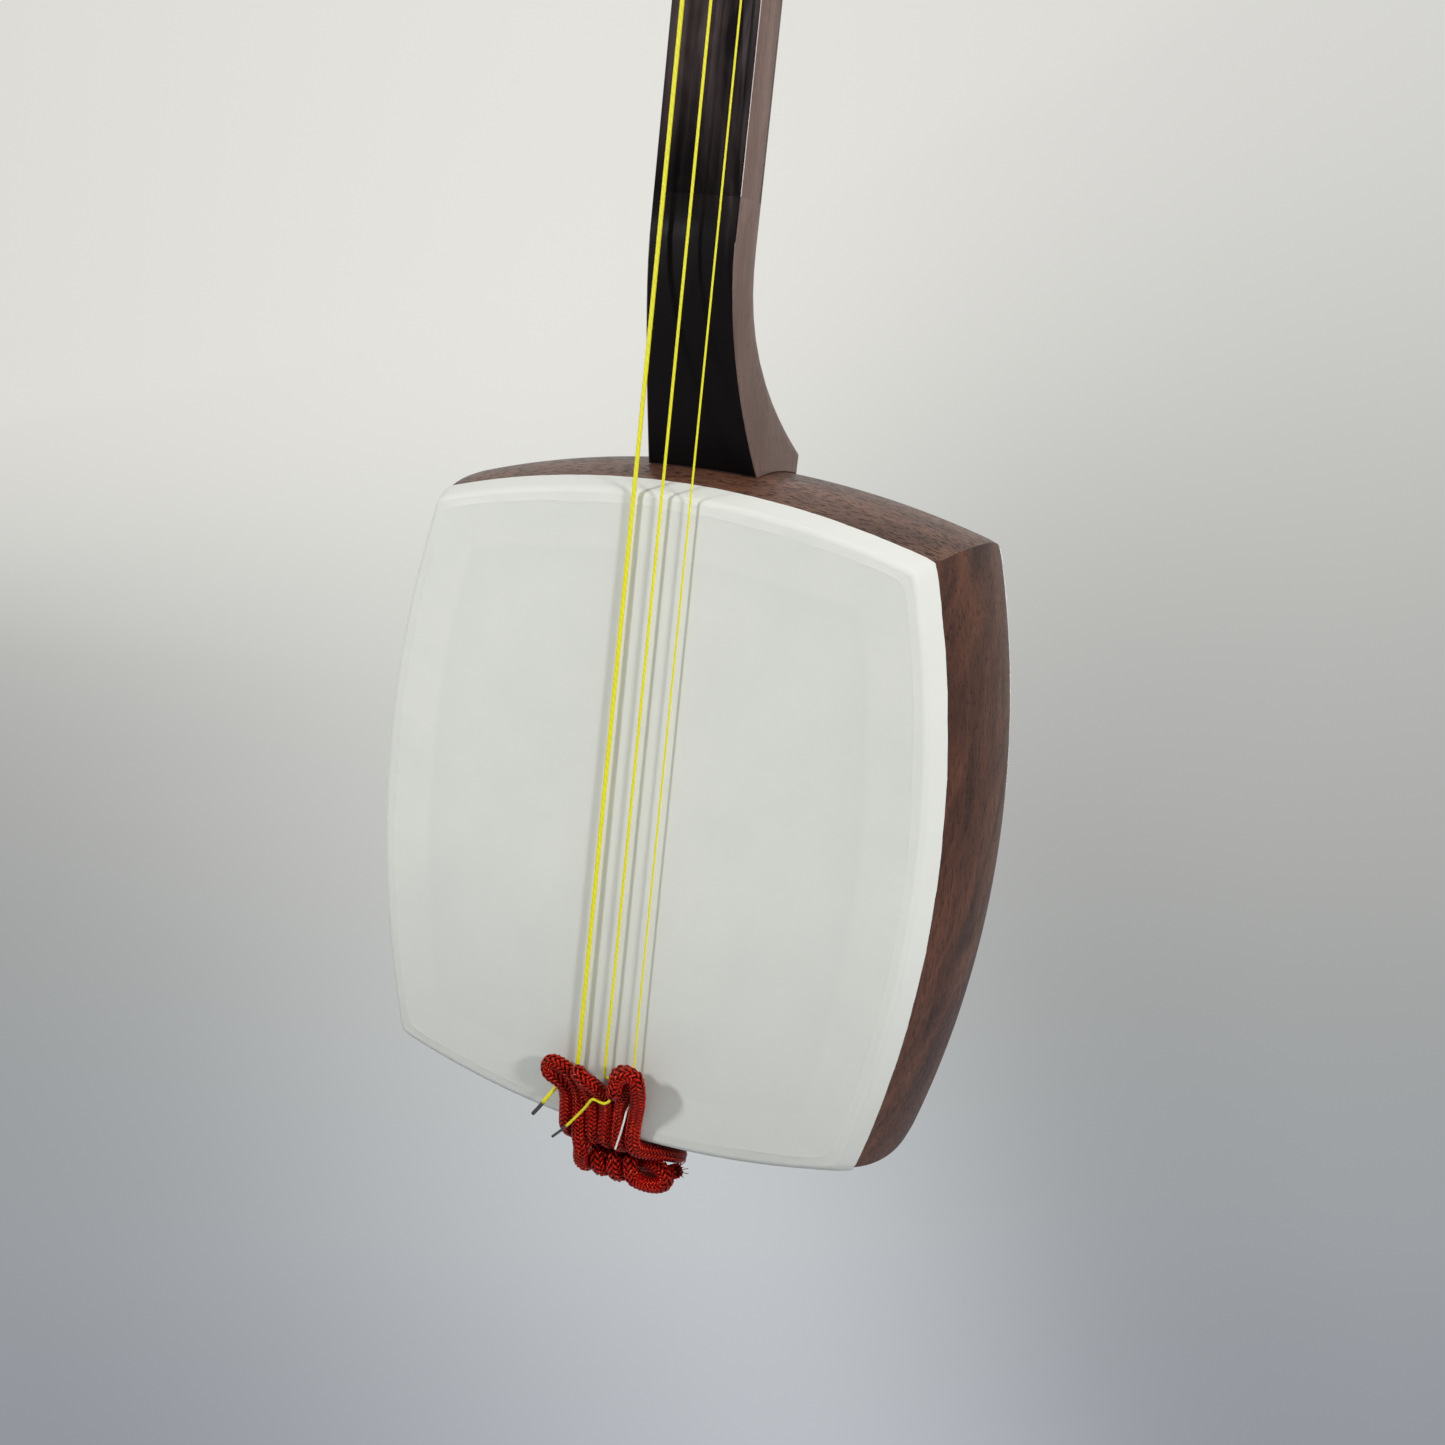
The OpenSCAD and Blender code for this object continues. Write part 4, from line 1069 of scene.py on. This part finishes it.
# Strands darken where they dip under others and towards their flanks, and the core turns nearly black:
# painted shade.
painted_gap_shade = f.ramp(f.number("height"), (0.5, 0.94), (0.80, 0.55), (0.94, 0.0))
colour = f.mix(f.fade(patch, 0.35, 0.7), (0.26, 0.0014, 0.0024), (0.46, 0.003, 0.004))
# Bright streaks along the fibres: partly the silk's own lighter tone, partly a painted highlight.
colour = f.mix(f.fade(fibres, 0.45, 0.8, 0.5), colour, (0.95, 0.026, 0.011))
colour = f.mix(f.times(f.number("strand"), 0.15), colour, (0.13, 0.002, 0.004))
colour = f.mix(painted_gap_shade, colour, (0.010, 0.0003, 0.0006))
f.set(Base_Color=colour, Roughness=f.ramp(fibres, (0.3, 0.2), (0.7, 0.3)),
      Normal=f.bump(fibres, 0.35, 0.00008), IOR=1.7, Specular_IOR_Level=0.75,
      Specular_Tint=(1.0, 0.13, 0.05, 1))
red_braid = f.done()

# %% [markdown]
# ## Pieces to their places
# Each piece takes its finish and the body it moves with.
# The pegs and the turns of string on them ride on the peg bodies, and everything
# else stays with the frame. The playing face of the neck and the pale edges
# beside it, which carry a painted highlight, are picked by the way each face looks.

# %% Places
settle(front_hide, hide, "skin", "frame", "front_skin")
settle(back_hide, hide, "skin", "frame", "back_skin")
for side, piece in boards.items():
    finish = board_ends if side in ("top", "bottom") else board_sides
    settle(piece, finish, "body_wood", "frame", f"do_{side}_board")
for name, piece in neck.items():
    settle(piece, head_wood if name == "tenjin" else neck_side, "rosewood", "frame", name)
settle(nut_piece, brass, "brass", "frame", "kamigoma")
for k in range(3):
    settle(seats[k], brass, "brass", "frame", f"seat_ring_{k + 1}")
    settle(pegs[k], peg_wood, "rosewood", f"peg_{k + 1}", f"itomaki_{k + 1}")
    settle(windings[k], winding_silk, "silk", f"peg_{k + 1}", f"winding_{k + 1}")
    settle(strings[k], string_silk[k], "silk", "frame", f"string_{k + 1}")
settle(neo_braid, red_braid, "tail_cord", "frame", "neo")

# %% Faces and edges of the neck
FACE, EDGE = 1, 2
for name in ("lower_neck", "middle_neck", "upper_neck"):
    mesh = neck[name].data
    mesh.materials.append(neck_face)
    mesh.materials.append(neck_edge_glint)
    for polygon in mesh.polygons:
        to_side, to_front = abs(polygon.normal.x), -polygon.normal.y
        if to_front > 0.92 or (to_front > 0.7 and to_side < 0.2):
            polygon.material_index = FACE
        # The bevels between face and sides take the pale painted highlight.
        elif to_front > 0.25 and to_side > 0.25 and name != "lower_neck":
            polygon.material_index = EDGE
    print(name, sum(polygon.material_index == FACE for polygon in mesh.polygons), "faces to play on")

# %% Count of cords
print("cords", 1 + len(strings))

# %% [markdown]
# ## Backdrop and light
# A pale sweep of paper lies under the object and curves up well behind it. It
# grows paler as it rises, a soft pool of light widens with it, and it dims to
# the sides: this is painted light and painted shade, ramps along plain directions
# of the sweep, so they stay where they are when the view goes round. The paper
# also glows for camera, glossy and transmission rays, which is painted light too.
# Two soft lamps stand to the left and right, so that each string throws a faint
# shadow to both sides, and a pale sky fills in the rest. A sky alone would be
# simpler, but the strings would then seem to lie on the skin.

# %% Sweep
FLOOR_Z, BEND_Y, BEND_R, TOP_Z, FAR = -0.45, 1.6, 1.2, 4.0, 80
profile = [(-FAR, FLOOR_Z), (BEND_Y, FLOOR_Z)]
for degrees in range(6, 91, 6):
    a = math.radians(degrees)
    profile.append((BEND_Y + BEND_R * math.sin(a), FLOOR_Z + BEND_R - BEND_R * math.cos(a)))
profile.append((BEND_Y + BEND_R, TOP_Z))
count = len(profile)
mesh = bpy.data.meshes.new("sweep")
mesh.from_pydata([(x, y, z) for x in (-FAR, FAR) for y, z in profile], [],
                 [(i, i + 1, count + i + 1, count + i) for i in range(count - 1)])
sweep = linked("sweep", mesh)
edit(sweep, outwards)
bpy.ops.object.shade_smooth()
print("sweep of", count, "rows")

# %% Paper
GLOW = 0.75
f = Finish("paper")


def far_along(direction, start):
    """How far a place lies along a direction."""
    dot = f.add("VectorMath", {0: f.place(), 1: direction}, operation="DOT_PRODUCT")
    return f.math("SUBTRACT", dot.outputs["Value"], start)


rise = far_along((-0.133, 0.2, 0.233), -0.133)
cloud = f.noise(f.place(), 1.3, 2.0)
rise = f.plus(rise, f.times(f.math("SUBTRACT", cloud, 0.5), 0.03))
# Paler as the paper rises: painted light.
paper = f.ramp(rise, (0.0, (0.56, 0.58, 0.60)), (0.09, (0.50, 0.525, 0.57)), (0.138, (0.60, 0.63, 0.655)),
               (0.24, (0.64, 0.65, 0.635)), (0.36, (0.70, 0.705, 0.68)), (0.55, (0.75, 0.755, 0.715)),
               (0.72, (0.84, 0.84, 0.795)), (0.87, (0.935, 0.925, 0.88)), between="B_SPLINE")
# A pool of light that widens as it rises, dimming to the sides and on the floor in front: painted light and
# painted shade.
pool = f.plus(f.times(f.math("MAXIMUM", rise, 0.09), 3.6), 0.45)
aside = f.plus(f.math("DIVIDE", far_along((0.83, 0.56, 0), 0.12), pool), 0.5)
dim = f.ramp(aside, (0.0, 1.0), (0.2, 0.7), (0.42, 0.0), (0.58, 0.0), (0.78, 1.0), (1.0, 0.85),
             between="B_SPLINE")
dim = f.times(dim, f.ramp(rise, (0.1, 0.46), (0.55, 0.32), (0.95, 0.1), between="B_SPLINE"))
dim = f.mix(f.fade(rise, 0.0, 0.085), (0.12, 0.12, 0.12), dim)
paper = f.mix(dim, paper, (0.0, 0.01, 0.03))
f.set(Base_Color=paper, Roughness=0.9, Specular_IOR_Level=0.1)
# The paper glows for camera, glossy and transmission rays: painted light.
seen = f.add("LightPath").outputs
rays = f.math("MAXIMUM", f.math("MAXIMUM", seen["Is Camera Ray"], seen["Is Glossy Ray"]),
              seen["Is Transmission Ray"])
glow = f.add("Emission", {"Color": paper, "Strength": 1.0}).outputs["Emission"]
blend = f.add("MixShader", {0: f.times(rays, GLOW), 1: f.shader.outputs["BSDF"], 2: glow})
f.put(f.tree.nodes["Material Output"].inputs["Surface"], blend.outputs["Shader"])
mesh.materials.append(f.done())


# %% Lamps
def lamp(name, place, aim, size, watts):
    """A round, soft lamp that looks at a place."""
    data = bpy.data.lights.new(name, "AREA")
    data.shape = "DISK"
    data.size = size
    data.energy = watts
    made = linked(name, data)
    made.location = place
    made.rotation_euler = (Vector(aim) - Vector(place)).to_track_quat("-Z", "Y").to_euler()


lamp("left_lamp", (-0.54, -0.68, 0.36), (0, -0.06, 0.0), 0.12, 3.85)
lamp("right_lamp", (0.84, -0.54, 0.40), (0, -0.06, 0.0), 0.16, 5.2)
lamp("side_fill", (1.35, -0.2, 0.95), (0, -0.04, 0.0), 1.0, 6.0)
lamp("top_lamp", (0.0, 0.15, 1.5), (0, -0.04, 0.1), 0.9, 2.8)
f = Finish("studio", bpy.data.worlds, "Background")
upward = f.parts(f.add("TexCoord").outputs["Generated"])["Z"]
sky = f.ramp(f.plus(f.times(upward, 0.5), 0.5), (0.25, (0.5, 0.53, 0.57)), (0.85, (0.95, 0.96, 0.96)))
f.set(Color=sky, Strength=0.39)
scene.world = f.done()
print("stage ready,", len(bpy.data.lights), "lamps")
